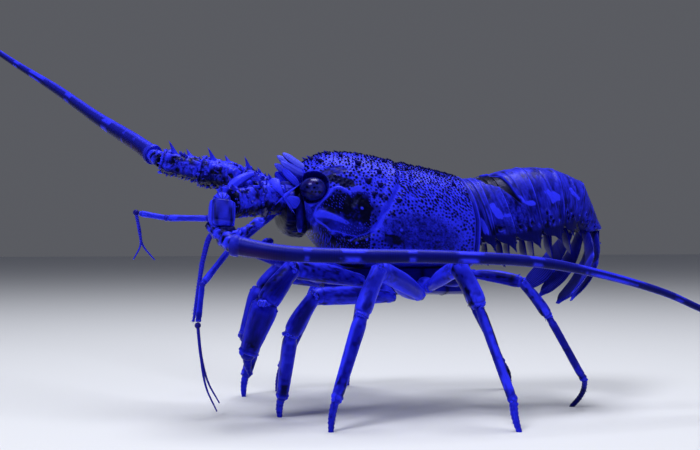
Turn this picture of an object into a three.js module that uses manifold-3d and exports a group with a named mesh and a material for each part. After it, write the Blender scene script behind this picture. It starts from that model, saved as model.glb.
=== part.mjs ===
// Spiny lobster, life size, standing on its walking legs with the tail curled under.
// Millimetres, +Z up. The head points to -X and the left side is -Y.
// The body is laid out about its own mid-plane and then set down with the middle of its box over the origin.

import * as THREE from 'three';
import Module from 'manifold-3d';
import { mergeVertices } from 'three/addons/utils/BufferGeometryUtils.js';

const wasm = await Module();
wasm.setup();

// Driving dimensions
const GAP = 0.3;
const CARAPACE_FRONT = -36;
const CARAPACE_REAR = 85;
const STERNUM_FRONT = -20;
const STERNUM_REAR = 78;
const STERNUM_TOP = 97.5;
const STERNUM_BOTTOM = 81;
const FACE_FRONT = -52;
const FOOT_RADIUS = 1.7;
const FLAGELLUM_SPLIT = 0.45;
const BOX_MIDDLE = [-15, 95];
const LEFT = -1;
const RIGHT = 1;
const SIDES = [['left', LEFT], ['right', RIGHT]];

// Colours of the shell, read as [colour, roughness]
const FINISH = {
  shell: ['#5f6fe0', 0.45],
  side: ['#2a35a8', 0.5],
  joint: ['#161b6e', 0.6],
  leg: ['#4d59d8', 0.42],
  feeler: ['#20289c', 0.45],
  eye: ['#11144a', 0.15],
  horn: ['#8e9af2', 0.4],
};

const model = new THREE.Group();

function addMesh(name, geometry, finish) {
  const [colour, roughness] = FINISH[finish];
  const material = new THREE.MeshStandardMaterial({ color: colour, roughness, metalness: 0 });
  const mesh = new THREE.Mesh(geometry, material);
  mesh.name = name;
  model.add(mesh);
}

const vec = ([x, y, z]) => new THREE.Vector3(x, y, z);

// Value of a table of [place, value] rows at a place, on a smooth curve through the rows
function along(table, place) {
  const last = table.length - 1;
  if (place <= table[0][0]) return table[0][1];
  if (place >= table[last][0]) return table[last][1];
  let i = 0;
  while (place > table[i + 1][0]) i += 1;
  const slope = (k) => {
    const a = table[Math.max(k - 1, 0)];
    const b = table[Math.min(k + 1, last)];
    return (b[1] - a[1]) / (b[0] - a[0]);
  };
  const [x0, y0] = table[i];
  const [x1, y1] = table[i + 1];
  const span = x1 - x0;
  const t = (place - x0) / span;
  const h = t * t * (3 - 2 * t);
  const leave = t * (1 - t) * (1 - t) * span * slope(i);
  const arrive = t * t * (1 - t) * span * slope(i + 1);
  return y0 * (1 - h) + y1 * h + leave - arrive;
}

// Closed surface through rings with the same number of points, each end filled flat
function loft(rings) {
  const size = rings[0].length;
  const positions = [];
  rings.forEach((ring) => ring.forEach((p) => positions.push(p.x, p.y, p.z)));
  const index = [];
  for (let r = 0; r + 1 < rings.length; r += 1) {
    for (let k = 0; k < size; k += 1) {
      const a = r * size + k;
      const b = r * size + ((k + 1) % size);
      index.push(a, b, b + size, a, b + size, a + size);
    }
  }
  const cap = (ring, first, turned) => {
    const centre = ring.reduce((sum, p) => sum.add(p), new THREE.Vector3()).divideScalar(size);
    const normal = new THREE.Vector3();
    ring.forEach((p, k) => {
      const a = p.clone().sub(centre);
      normal.add(a.cross(ring[(k + 1) % size].clone().sub(centre)));
    });
    normal.normalize();
    const u = ring[0].clone().sub(centre).projectOnPlane(normal).normalize();
    const v = normal.clone().cross(u);
    const flat = ring.map((p) => {
      const d = p.clone().sub(centre);
      return new THREE.Vector2(d.dot(u), d.dot(v));
    });
    THREE.ShapeUtils.triangulateShape(flat, []).forEach(([a, b, c]) => {
      index.push(...(turned ? [first + a, first + c, first + b] : [first + a, first + b, first + c]));
    });
  };
  cap(rings[0], 0, true);
  cap(rings[rings.length - 1], (rings.length - 1) * size, false);
  const geometry = new THREE.BufferGeometry();
  geometry.setAttribute('position', new THREE.Float32BufferAttribute(positions, 3));
  geometry.setIndex(index);
  return volume(geometry) < 0 ? turnedOut(geometry) : geometry;
}

function volume(geometry) {
  const at = (i) => new THREE.Vector3().fromBufferAttribute(geometry.attributes.position, i);
  const index = geometry.index.array;
  let sum = 0;
  for (let i = 0; i < index.length; i += 3) {
    sum += at(index[i]).dot(at(index[i + 1]).cross(at(index[i + 2]))) / 6;
  }
  return sum;
}

function turnedOut(geometry) {
  const index = Array.from(geometry.index.array);
  for (let i = 0; i < index.length; i += 3) {
    [index[i + 1], index[i + 2]] = [index[i + 2], index[i + 1]];
  }
  geometry.setIndex(index);
  return geometry;
}

function solid(geometry) {
  const bare = geometry.clone();
  bare.deleteAttribute('normal');
  bare.deleteAttribute('uv');
  const merged = mergeVertices(bare, 1e-4);
  return new wasm.Manifold(new wasm.Mesh({
    numProp: 3,
    vertProperties: new Float32Array(merged.attributes.position.array),
    triVerts: new Uint32Array(merged.index.array),
  }));
}

function shape(manifold) {
  const { vertProperties, triVerts } = manifold.getMesh();
  const geometry = new THREE.BufferGeometry();
  geometry.setAttribute('position', new THREE.Float32BufferAttribute(vertProperties, 3));
  geometry.setIndex(Array.from(triVerts));
  return geometry;
}

const join = (first, others) => shape(others.reduce((body, g) => body.add(solid(g)), solid(first)));
const cut = (first, others) => shape(others.reduce((body, g) => body.subtract(solid(g)), solid(first)));

function ellipsoid(centre, radii, around = 14, high = 9) {
  const geometry = new THREE.SphereGeometry(1, around, high);
  geometry.scale(...radii);
  return geometry.translate(...centre);
}

// Four-sided thorn with its foot sunk into what it grows from
function thorn(foot, direction, length, radius) {
  const geometry = new THREE.ConeGeometry(radius, length, 4);
  geometry.translate(0, length / 2, 0);
  const turn = new THREE.Quaternion().setFromUnitVectors(
    new THREE.Vector3(0, 1, 0),
    vec(direction).normalize(),
  );
  return geometry.applyQuaternion(turn).translate(...foot);
}

// Rings along a path: each stop is { at, r, r2, facing }, where r2 is the other half-width
// and facing, where given, is the direction that the ring's plane looks in.
function tube(stops, sides, upHint = [0, 0, 1]) {
  const points = stops.map((s) => vec(s.at));
  const hint = vec(upHint);
  const rings = stops.map((stop, i) => {
    const back = points[i].clone().sub(points[Math.max(i - 1, 0)]).normalize();
    const ahead = points[Math.min(i + 1, points.length - 1)].clone().sub(points[i]).normalize();
    const direction = stop.facing ? vec(stop.facing).normalize() : back.add(ahead).normalize();
    const across = direction.clone().cross(hint).normalize();
    const up = across.clone().cross(direction);
    const ring = [];
    for (let k = 0; k < sides; k += 1) {
      const angle = (2 * Math.PI * (k + 0.5)) / sides;
      ring.push(points[i].clone()
        .addScaledVector(across, Math.cos(angle) * stop.r)
        .addScaledVector(up, Math.sin(angle) * (stop.r2 ?? stop.r)));
    }
    return ring;
  });
  return loft(rings);
}

const mix = (a, b, t) => a.map((value, i) => value + (b[i] - value) * t);

const wayTo = (a, b) => vec(b).sub(vec(a)).normalize().toArray();

const stepFrom = (a, b, distance) => vec(a).addScaledVector(vec(wayTo(a, b)), distance).toArray();

// Direction halfway between the way into a bend and the way out of it
const meanWay = (a, b, c) => vec(wayTo(a, b)).add(vec(wayTo(b, c))).normalize().toArray();

// Carapace: half-width, top line, widest level and lower edge against the place along the body
const HALF_WIDTH = [[-36, 27], [-26, 30.5], [-8, 36], [12, 39], [45, 41], [72, 40], [85, 38]];
const TOP_LINE = [[-36, 169], [-23, 176.5], [-6, 178], [12, 176], [31, 171.3], [58, 166.8], [85, 161.4]];
const WIDEST = [[-36, 147], [-20, 140], [0, 133], [85, 130]];
const LOWER_EDGE = [[-36, 131], [-24, 114], [-8, 100.5], [4, 98], [85, 98]];
const CARAPACE_STATIONS = [-36, -31, -24, -14, -2, 12, 24, 31, 38, 52, 66, 78, 85];
const CARAPACE_SIDES = 24;
const UPPER_ROUND = 2 / 2.15;
const LOWER_ROUND = 2 / 2.9;
const RIM_LEAN = 7;
const RIM_LEAN_FROM = 45;

const power = (value, exponent) => Math.sign(value) * Math.abs(value) ** exponent;

function carapacePoint(x, angle) {
  const upper = Math.sin(angle) > 0;
  const round = upper ? UPPER_ROUND : LOWER_ROUND;
  const level = along(WIDEST, x);
  const reach = upper ? along(TOP_LINE, x) - level : level - along(LOWER_EDGE, x);
  const rearward = THREE.MathUtils.clamp((x - RIM_LEAN_FROM) / (CARAPACE_REAR - RIM_LEAN_FROM), 0, 1);
  return new THREE.Vector3(
    x - RIM_LEAN * rearward * Math.max(Math.sin(angle), 0),
    along(HALF_WIDTH, x) * power(Math.cos(angle), round),
    level + reach * power(Math.sin(angle), round),
  );
}

// Eyes, with the hollow round each that opens forwards and to the side
const EYE = [-31, 24, 152.3];
const EYE_RADII = [8.4, 7.4, 7.2];
const ORBIT_RADII = [12.2, 11.5, 11.5];
const STALK_RADIUS = 3.4;
const STALK_CLEAR = 1.9;

const mirrored = ([x, y, z], side) => [x, y * side, z];
const orbit = (side) => ellipsoid(mirrored(EYE, side), ORBIT_RADII);

// Large thorns on the front half of the back: place along the body and angle down from the ridge
const BACK_THORNS = [
  [-22, 14], [-20, 40], [-10, 24], [-8, 52], [2, 12], [4, 38],
  [14, 26], [16, 56], [26, 14], [40, 22], [56, 16], [70, 24],
];
const BACK_THORN_LENGTH = 6;
const BACK_THORN_RADIUS = 1.7;
const BACK_THORN_SUNK = 2;
const BACK_THORN_FORWARD = 0.75;

function carapace() {
  const rings = CARAPACE_STATIONS.map((x) => {
    const ring = [];
    for (let k = 0; k < CARAPACE_SIDES; k += 1) {
      ring.push(carapacePoint(x, (2 * Math.PI * (k + 0.5)) / CARAPACE_SIDES));
    }
    return ring;
  });
  const thorns = [];
  BACK_THORNS.forEach(([x, degrees]) => {
    [LEFT, RIGHT].forEach((side) => {
      const angle = THREE.MathUtils.degToRad(90 - side * degrees);
      const foot = carapacePoint(x, angle).add(new THREE.Vector3(0, 0, -BACK_THORN_SUNK));
      const outwards = [-BACK_THORN_FORWARD, Math.cos(angle), Math.sin(angle)];
      thorns.push(thorn(foot.toArray(), outwards, BACK_THORN_LENGTH, BACK_THORN_RADIUS));
    });
  });
  const shell = join(loft(rings), thorns);
  return cut(shell, [orbit(LEFT), orbit(RIGHT)]);
}

function eye(side) {
  const ball = ellipsoid(mirrored(EYE, side), EYE_RADII);
  const root = mirrored([EYE[0], EYE[1] - ORBIT_RADII[1] + STALK_CLEAR, EYE[2]], side);
  const stalk = tube([
    { at: mirrored([EYE[0], EYE[1] - 2, EYE[2]], side), r: STALK_RADIUS, facing: [0, -side, 0] },
    { at: root, r: STALK_RADIUS * 0.8, facing: [0, -side, 0] },
  ], 8);
  return join(ball, [stalk]);
}

// Flat three-cornered horn over each eye, with its root against the front of the carapace
const HORN_ROOT = [CARAPACE_FRONT - GAP, 12.5, 162.5];
const HORN_TIP = [-51, 12.5, 175];
// Sections of the horn: share of its length, half-width across and half-width up
const HORN_SECTIONS = [[0, 3.2, 5.6], [0.4, 2.6, 4.2], [0.75, 1.8, 2.6], [1, 0.6, 0.6]];

function horn(side) {
  return tube(HORN_SECTIONS.map(([share, r, r2]) => ({
    at: mirrored(mix(HORN_ROOT, HORN_TIP, share), side),
    r,
    r2,
    facing: share === 0 ? [-1, 0, 0] : undefined,
  })), 6);
}

// Block between the eyes and the bases of the antennae
const FACE_SECTIONS = [[CARAPACE_FRONT - GAP, 22, 138, 19], [-44, 26, 139, 18.5], [FACE_FRONT, 30, 142, 16]];
const FACE_SIDES = 16;
const FACE_ROUND = 0.8;

function face() {
  const rings = FACE_SECTIONS.map(([x, halfWidth, level, halfHeight]) => {
    const ring = [];
    for (let k = 0; k < FACE_SIDES; k += 1) {
      const angle = (2 * Math.PI * (k + 0.5)) / FACE_SIDES;
      ring.push(new THREE.Vector3(
        x,
        halfWidth * power(Math.cos(angle), FACE_ROUND),
        level + halfHeight * power(Math.sin(angle), FACE_ROUND),
      ));
    }
    return ring;
  });
  return cut(loft(rings), [orbit(LEFT), orbit(RIGHT)]);
}

// Breast plate between the legs, wider towards the rear and keeled below
const STERNUM_HALF = { front: 8.5, rear: 25 };
const KEEL_DROP = 2;
const KEEL_SHARE = 0.4;

function sternumHalf(x) {
  return THREE.MathUtils.mapLinear(x, STERNUM_FRONT, STERNUM_REAR, STERNUM_HALF.front, STERNUM_HALF.rear);
}

function sternum() {
  const rings = [STERNUM_FRONT, STERNUM_REAR].map((x) => {
    const half = sternumHalf(x);
    const keel = STERNUM_BOTTOM - KEEL_DROP;
    return [
      [half, STERNUM_TOP], [half, STERNUM_BOTTOM], [half * KEEL_SHARE, keel],
      [-half * KEEL_SHARE, keel], [-half, STERNUM_BOTTOM], [-half, STERNUM_TOP],
    ].map(([y, z]) => new THREE.Vector3(x, y, z));
  });
  return loft(rings);
}

// Articles of a limb, each narrow at its joints and fuller between them.
// An article is { to, r, end, slim, flat, neck, tip }: its far end, its half-width near the start and
// near the end, the shares of it kept across and along the up hint, the share kept at the joint
// it starts from, and the half-width that the limb ends in.
const FULL_FROM = 0.2;
const FULL_TO = 0.82;

function articles(from, list, { startFacing, endFacing, sides = 8, upHint } = {}) {
  const stops = [];
  let start = from;
  list.forEach((article, i) => {
    const flat = article.flat ?? 1;
    const slim = article.slim ?? 1;
    const neck = article.neck ?? 0.78;
    const full = article.r;
    const end = article.end ?? full * 0.9;
    const first = i === 0;
    const last = i === list.length - 1;
    const stop = (at, size, facing) => stops.push({ at, r: size * slim, r2: size * flat, facing });
    stop(start, full * neck, first ? startFacing : undefined);
    stop(mix(start, article.to, FULL_FROM), full);
    stop(mix(start, article.to, FULL_TO), end);
    if (last) stop(article.to, article.tip ?? end * 0.8, endFacing);
    start = article.to;
  });
  return tube(stops, sides, upHint);
}

// Peduncle of each antenna, from the face out to the foot of its flagellum.
const FACE_EXIT = FACE_FRONT - GAP;
const PEDUNCLE_LEFT = [[FACE_EXIT, -19.5, 146], [-73, -33, 144.5], [-92, -47.5, 141], [-95, -63, 119.5]];
const PEDUNCLE_RIGHT = [[FACE_EXIT, 19.5, 148], [-75, 22, 160], [-101, 31, 166], [-128, 38, 173]];
const PEDUNCLE_HALF = [11.5, 10.5, 8.6];
const PEDUNCLE_CLEAR = 1.2;
const THORN_RADIUS = 2.4;
const THORN_LEAN = 0.4;
const THORN_SUNK = 0.7;
// Thorns of an article: share of its length, way out as [sideways, up], and length beyond the surface
const PEDUNCLE_THORNS = [
  [0.3, [0.15, 1], 7], [0.7, [-0.3, 1], 10], [0.7, [0.75, 0.7], 9], [0.55, [1, -0.1], 7],
];

function peduncle(route, number) {
  const a = route[number - 1];
  const b = route[number];
  const half = PEDUNCLE_HALF[number - 1];
  const start = stepFrom(a, b, number === 1 ? PEDUNCLE_CLEAR : GAP);
  const body = articles(start, [{ to: b, r: half, end: half * 0.95, neck: 0.85 }], {
    startFacing: number === 1 ? [-1, 0, 0] : meanWay(route[number - 2], a, b),
    endFacing: number === 3 ? wayTo(a, b) : meanWay(a, b, route[number + 1]),
  });
  const away = Math.sign(route[3][1]);
  const thorns = PEDUNCLE_THORNS.map(([share, [sideways, up], reach]) => {
    const outwards = new THREE.Vector3(0, sideways * away, up).normalize();
    const foot = vec(mix(start, b, share)).addScaledVector(outwards, half * THORN_SUNK);
    const leaning = outwards.addScaledVector(vec(wayTo(a, b)), THORN_LEAN);
    return thorn(foot.toArray(), leaning.toArray(), reach + half * (1 - THORN_SUNK), THORN_RADIUS);
  });
  return join(body, thorns);
}

// Flagella: the stiff whips of the two antennae. Half-width falls with the distance from the root.
const FLAGELLUM_LEFT_HALF = [
  [0, 6.8], [10, 5.7], [30, 5], [75, 4.5], [132, 4.05], [195, 3.5], [243, 2.8], [295, 2.4], [470, 0.8],
];
const FLAGELLUM_RIGHT_HALF = [
  [0, 7.2], [10, 6.1], [38, 5.6], [64, 5.2], [112, 4.2], [169, 3.6], [207, 2.95], [295, 2.2], [470, 0.8],
];
const FLAGELLUM_LEFT = [
  [-90, -71.5, 114.5], [-61, -84, 109.5], [-18, -92, 107.7], [38, -96, 107], [102, -93, 103.4],
  [147, -90, 95.3], [195, -86, 82.2], [220, -84, 72], [262, -80, 55], [302, -74, 41], [340, -66, 30],
  [366, -58, 23],
];
const FLAGELLUM_RIGHT = [
  [-133.5, 44, 177.5], [-145, 62, 187.5], [-171, 102, 207.5], [-204, 153, 235.5], [-238, 203, 261.5],
  [-268, 240, 284], [-302, 270, 304.5], [-340, 291, 321], [-380, 305, 334], [-396, 309, 338],
];
const FLAGELLUM_STEPS = 11;
const FLAGELLUM_OVERALL = 470;

function flagellum(points, halfTable, from, to) {
  const curve = new THREE.CatmullRomCurve3(points.map(vec), false, 'centripetal');
  const length = curve.getLength();
  const stops = [];
  for (let i = 0; i <= FLAGELLUM_STEPS; i += 1) {
    const share = from + ((to - from) * i) / FLAGELLUM_STEPS;
    const facing = curve.getTangentAt(Math.min(share, 1)).toArray();
    const at = curve.getPointAt(Math.min(share, 1)).toArray();
    stops.push({ at, r: along(halfTable, share * FLAGELLUM_OVERALL), facing });
  }
  const clear = GAP / length;
  const foot = curve.getPointAt(from + (from > 0 ? clear : 0));
  stops[0].at = foot.toArray();
  return tube(stops, 8);
}

// Antennules: three slender articles and two short fine whips each
const ANTENNULE_LEFT = [[FACE_EXIT, -5, 137], [-85.5, -14, 111], [-104.5, -22, 88], [-107.5, -26, 63.5]];
const ANTENNULE_LEFT_WHIPS = [
  [[-106, -27.5, 42], [-102.5, -27.5, 21], [-95, -23.5, 4]],
  [[-105.5, -23.5, 42], [-101, -24, 24], [-93, -20, 9]],
];
const ANTENNULE_RIGHT = [[FACE_EXIT, 5, 138], [-98.5, 4, 132], [-126.5, 8, 132.3], [-144.5, 10, 135.5]];
const ANTENNULE_RIGHT_WHIPS = [
  [[-146, 9, 124], [-144, 8.5, 113], [-148.5, 8, 104]],
  [[-143.5, 12, 124], [-140, 12.5, 112], [-134, 13, 103.5]],
];
const ANTENNULE_HALF = [2.6, 2.3, 2.1];
const KNOB_RADIUS = 2;
const WHIP_HALF = 1.1;
const WHIP_TAPER = [1, 0.85, 0.5];

function antennuleStalk(route) {
  const list = route.slice(1).map((to, i) => ({ to, r: ANTENNULE_HALF[i], neck: 0.8 }));
  return articles(route[0], list, { startFacing: [-1, 0, 0], sides: 6, upHint: [0, 1, 0] });
}

function antennuleWhips(route, whips) {
  const end = route[3];
  const way = vec(end).sub(vec(route[2])).normalize();
  const root = vec(end).addScaledVector(way, GAP + KNOB_RADIUS).toArray();
  const knob = ellipsoid(root, [KNOB_RADIUS, KNOB_RADIUS, KNOB_RADIUS], 8, 6);
  const strands = whips.map((points) => tube([
    { at: root, r: WHIP_HALF },
    ...points.map((at, i) => ({ at, r: WHIP_HALF * WHIP_TAPER[i] })),
  ], 6, [0, 1, 0]));
  return join(knob, strands);
}

// Third maxillipeds folded under the mouth, and the long palp of the left one
const MAXILLIPED = [
  [STERNUM_FRONT - GAP, 5.5, 90], [-45, 12, 101], [-58, 12.5, 106], [-61.5, 10, 113], [-56, 8, 117.5],
];
const MAXILLIPED_HALF = [4.6, 4, 3.2, 2.4];
const PALP = [
  [-56, -20, 102], [-82, -22, 113], [-97, -13, 121], [-102.5, -12, 107], [-106, -14.5, 88], [-110, -17, 63],
];
const PALP_HALF = [2, 2, 2, 1.6, 1.4, 0.9];

function maxilliped(side) {
  const list = MAXILLIPED.slice(1).map((to, i) => ({ to: mirrored(to, side), r: MAXILLIPED_HALF[i] }));
  return articles(mirrored(MAXILLIPED[0], side), list, { startFacing: [-1, 0, 0], upHint: [0, 1, 0] });
}

function palp() {
  return tube(PALP.map((at, i) => ({ at, r: PALP_HALF[i] })), 6, [0, 1, 0]);
}

// Abdomen: each plane between two segments is given by its top and its bottom on the mid-plane
// and by its half-width
const ABDOMEN_PLANES = [
  { top: [78.6, 159.5], bottom: [86.5, 119], half: 31 },
  { top: [88.5, 161], bottom: [96.5, 118.5], half: 32 },
  { top: [99.5, 163.5], bottom: [111.5, 119.5], half: 32.5 },
  { top: [123.5, 169], bottom: [131, 123], half: 32 },
  { top: [148, 168.5], bottom: [148, 127], half: 29.5 },
  { top: [170, 159.5], bottom: [159, 129], half: 26 },
  { top: [185, 125], bottom: [167, 122.5], half: 21 },
];
// Section of a tergite from the ridge down to the belly: share of the half-width and share of the height
const TERGITE = [
  [0, 1], [0.28, 0.975], [0.54, 0.89], [0.76, 0.72], [0.91, 0.5], [0.985, 0.27], [1, 0.06],
];
const BELLY = [[0.86, 0.05], [0.45, 0]];
// Stations along a segment: place, depth of the side point below the belly and swelling, as shares
const TERGITE_STATIONS = [[0, 0, 0], [0.3, 0.09, 0.018], [0.7, 0.14, 0.012], [1, 0.02, 0]];
const SEGMENT_CLEAR = 0.2;

function tergiteRing(plane, pleura, bulge) {
  const [topX, topZ] = plane.top;
  const [bottomX, bottomZ] = plane.bottom;
  const place = ([across, high], side) => new THREE.Vector3(
    bottomX + (topX - bottomX) * high,
    side * across * plane.half,
    bottomZ + (topZ - bottomZ) * high,
  );
  const swollen = TERGITE.map(([across, high]) => [across * (1 + bulge), high * (1 + bulge)]);
  const half = [...swollen, [0.97, -pleura], [0.9, -pleura + 0.02], ...BELLY];
  const right = half.map((point) => place(point, RIGHT));
  const left = half.slice(1).reverse().map((point) => place(point, LEFT));
  return [...right, ...left];
}

function planeBetween(a, b, t) {
  return {
    top: mix(a.top, b.top, t),
    bottom: mix(a.bottom, b.bottom, t),
    half: THREE.MathUtils.lerp(a.half, b.half, t),
  };
}

function segment(number) {
  const front = ABDOMEN_PLANES[number - 1];
  const rear = ABDOMEN_PLANES[number];
  const length = Math.hypot(rear.bottom[0] - front.bottom[0], rear.bottom[1] - front.bottom[1]);
  const clear = SEGMENT_CLEAR / length;
  return loft(TERGITE_STATIONS.map(([t, pleura, bulge]) => {
    const share = clear + t * (1 - 2 * clear);
    return tergiteRing(planeBetween(front, rear, share), pleura, bulge);
  }));
}

// Swimmeret pairs: a bar under the belly with a leaf hanging at each end
const SWIMMERET_SEGMENTS = [2, 3, 4, 5];
const SWIMMERET_BAR = 3;
const SWIMMERET_BAR_DROP = 3.4;
const SWIMMERET_SPREAD = 15;
// Sections of a leaf: step backwards, outwards and down from the end of the bar,
// then half-width and half-thickness
const SWIMMERET_LEAF = [[0, 0, -1, 3, 1.2], [1, 2, 8.5, 6, 1], [4, 3, 17, 3, 0.6]];

function swimmerets(number) {
  const middle = planeBetween(ABDOMEN_PLANES[number - 1], ABDOMEN_PLANES[number], 0.45);
  const [x, z] = middle.bottom;
  const level = z - SWIMMERET_BAR_DROP;
  const bar = new THREE.BoxGeometry(SWIMMERET_BAR, SWIMMERET_SPREAD * 2, SWIMMERET_BAR);
  bar.translate(x, 0, level);
  const leaves = [LEFT, RIGHT].map((side) => tube(SWIMMERET_LEAF.map(([back, out, down, r, r2]) => ({
    at: [x + back, side * (SWIMMERET_SPREAD + out), level - down],
    r,
    r2,
    facing: [0, 0, -1],
  })), 6, [1, 0, 0]));
  return join(bar, leaves);
}

// Tail fan: plates that leave the last segment downwards and curl forwards beneath it.
// Each is laid out as [x, z, y of the middle, half-width] down its length.
const FAN_HALF_THICK = [2.2, 1.7, 1.3, 0.9];
const TELSON = [[181.5, 123.9, 0, 11], [180, 107, 0, 13], [171, 89, 0, 14], [154, 71, 0, 11]];
const UROPOD_INNER = [[177, 122.8, 11.5, 5.5], [174.5, 107, 19.5, 9], [166.5, 91, 26, 11.5], [152, 75, 30, 8]];
const UROPOD_OUTER = [[169.5, 122.2, 14.5, 4.5], [166, 108, 29, 9], [158, 93, 40, 12], [145, 80, 47, 8]];

function fanPlate(rows, side) {
  const stops = rows.map(([x, z, y, half], i) => ({
    at: [x, y * side, z],
    r: half,
    r2: FAN_HALF_THICK[i],
    facing: i === 0 ? [0.15, 0, -1] : undefined,
  }));
  return tube(stops, 8, [1, 0, 0]);
}

// Walking legs: foot of the coxa, knees and joints down to the foot, then the half-width of each article.
const LEG_HALF = [
  { coxa: 6.6, merus: 6.6, carpus: 7.4, propodus: 8.8, dactyl: 3.4 },
  { coxa: 6, merus: 5.7, carpus: 5.9, propodus: 5.6, dactyl: 2.5 },
  { coxa: 6, merus: 5.8, carpus: 5.9, propodus: 5.1, dactyl: 2.4 },
  { coxa: 5.6, merus: 5.3, carpus: 5.2, propodus: 3.9, dactyl: 2.3 },
  { coxa: 5, merus: 3.9, carpus: 3.6, propodus: 2.9, dactyl: 1.9 },
];
const COXA_PLACE = [[-4, 88], [12, 87], [29, 86.5], [46, 87], [63, 88.5]];
const LEG_ROUTES = {
  left: [
    [[1, -28, 89.5], [-50, -57, 99], [-68, -62, 76], [-78, -53, 45], [-76, -49, 30]],
    [[20, -37, 79], [-37, -66, 81.5], [-50.5, -54, 56], [-53.5, -36, 14], [-54, -30, 0]],
    [[38, -45, 81], [3, -76, 98.5], [-10.5, -84, 70], [-28.5, -93, 19], [-32, -94.5, 0]],
    [[48, -37, 86], [54, -80, 100], [64, -92, 75], [79.5, -112, 17], [81, -118, 0]],
    [[77, -44, 94], [105, -58, 89], [125, -56, 65.5], [156.5, -42, 20.5], [153.5, -27, 0]],
  ],
  right: [
    [[3, 28, 89.5], [-36, 58, 99], [-54, 62, 78], [-66, 56, 46], [-66, 51, 31]],
    [[19, 36, 82.5], [-34, 70, 90], [-50, 74, 62], [-64, 73, 16], [-66, 71, 0]],
    [[36, 46, 82], [2, 78, 99], [-12, 86, 70], [-33.5, 94.5, 19], [-37, 96, 0]],
    [[45, 38, 87], [33, 82, 101], [29, 95, 74], [24, 114, 17], [23, 119, 0]],
    [[75, 43, 93], [98, 64, 93], [112, 69, 66], [138, 72, 20], [141, 70, 0]],
  ],
};
const LEG_FLAT = 0.8;
const RAISED_TIP = 0.7;
const COXA_CLEAR = 0.8;

function legUpper(side, number) {
  const sign = side === 'left' ? LEFT : RIGHT;
  const half = LEG_HALF[number - 1];
  const [x, z] = COXA_PLACE[number - 1];
  const root = [x, sign * (sternumHalf(x + half.coxa) + COXA_CLEAR), z];
  const route = LEG_ROUTES[side][number - 1];
  return articles(root, [
    { to: route[0], r: half.coxa, end: half.coxa * 0.85 },
    { to: route[1], r: half.merus * 0.9, end: half.merus, tip: half.merus * 0.8, slim: LEG_FLAT },
  ], { startFacing: [0, sign, 0], endFacing: meanWay(route[0], route[1], route[2]) });
}

function legLower(side, number) {
  const half = LEG_HALF[number - 1];
  const route = LEG_ROUTES[side][number - 1];
  const stands = route[4][2] === 0;
  const kneeFacing = meanWay(route[0], route[1], route[2]);
  const start = vec(route[1]).addScaledVector(vec(kneeFacing), GAP).toArray();
  return articles(start, [
    { to: route[2], r: half.carpus, end: half.carpus * 0.95, neck: 0.8 },
    { to: route[3], r: half.propodus, end: half.propodus * 0.7, flat: LEG_FLAT },
    { to: route[4], r: half.dactyl, end: FOOT_RADIUS, tip: stands ? FOOT_RADIUS : RAISED_TIP },
  ], {
    startFacing: kneeFacing,
    endFacing: stands ? [0, 0, -1] : undefined,
    upHint: [0.3, 1, 0.2],
  });
}

addMesh('carapace', carapace(), 'shell');
addMesh('sternum', sternum(), 'side');
addMesh('face', face(), 'side');
SIDES.forEach(([word, side]) => {
  addMesh(`eye_${word}`, eye(side), 'eye');
  addMesh(`horn_${word}`, horn(side), 'horn');
  addMesh(`maxilliped_${word}`, maxilliped(side), 'side');
  const route = side === LEFT ? PEDUNCLE_LEFT : PEDUNCLE_RIGHT;
  [1, 2, 3].forEach((number) => addMesh(`antenna_${word}_${number}`, peduncle(route, number), 'side'));
  const whip = side === LEFT ? FLAGELLUM_LEFT : FLAGELLUM_RIGHT;
  const whipHalf = side === LEFT ? FLAGELLUM_LEFT_HALF : FLAGELLUM_RIGHT_HALF;
  addMesh(`flagellum_${word}_base`, flagellum(whip, whipHalf, 0, FLAGELLUM_SPLIT), 'feeler');
  addMesh(`flagellum_${word}_tip`, flagellum(whip, whipHalf, FLAGELLUM_SPLIT, 1), 'feeler');
});
addMesh('palp_left', palp(), 'feeler');
addMesh('antennule_left', antennuleStalk(ANTENNULE_LEFT), 'leg');
addMesh('antennule_left_whips', antennuleWhips(ANTENNULE_LEFT, ANTENNULE_LEFT_WHIPS), 'feeler');
addMesh('antennule_right', antennuleStalk(ANTENNULE_RIGHT), 'leg');
addMesh('antennule_right_whips', antennuleWhips(ANTENNULE_RIGHT, ANTENNULE_RIGHT_WHIPS), 'feeler');
for (let number = 1; number <= 6; number += 1) {
  addMesh(`abdomen_${number}`, segment(number), 'side');
}
SWIMMERET_SEGMENTS.forEach((number) => addMesh(`swimmerets_${number}`, swimmerets(number), 'joint'));
addMesh('telson', fanPlate(TELSON, RIGHT), 'side');
SIDES.forEach(([word, side]) => {
  addMesh(`uropod_inner_${word}`, fanPlate(UROPOD_INNER, side), 'side');
  addMesh(`uropod_outer_${word}`, fanPlate(UROPOD_OUTER, side), 'side');
  for (let number = 1; number <= 5; number += 1) {
    addMesh(`leg_${word}_${number}_upper`, legUpper(word, number), 'leg');
    addMesh(`leg_${word}_${number}_lower`, legLower(word, number), 'leg');
  }
});

model.position.set(-BOX_MIDDLE[0], -BOX_MIDDLE[1], 0);

export default model;
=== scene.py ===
# Spiny lobster: detailed shell plates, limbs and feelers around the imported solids.
# Lengths are millimetres in the animal's own frame: head towards -X, left side towards -Y, +Z up.
# A piece is turned into the row frame, in metres, when it is made.

import math
from itertools import product

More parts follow.
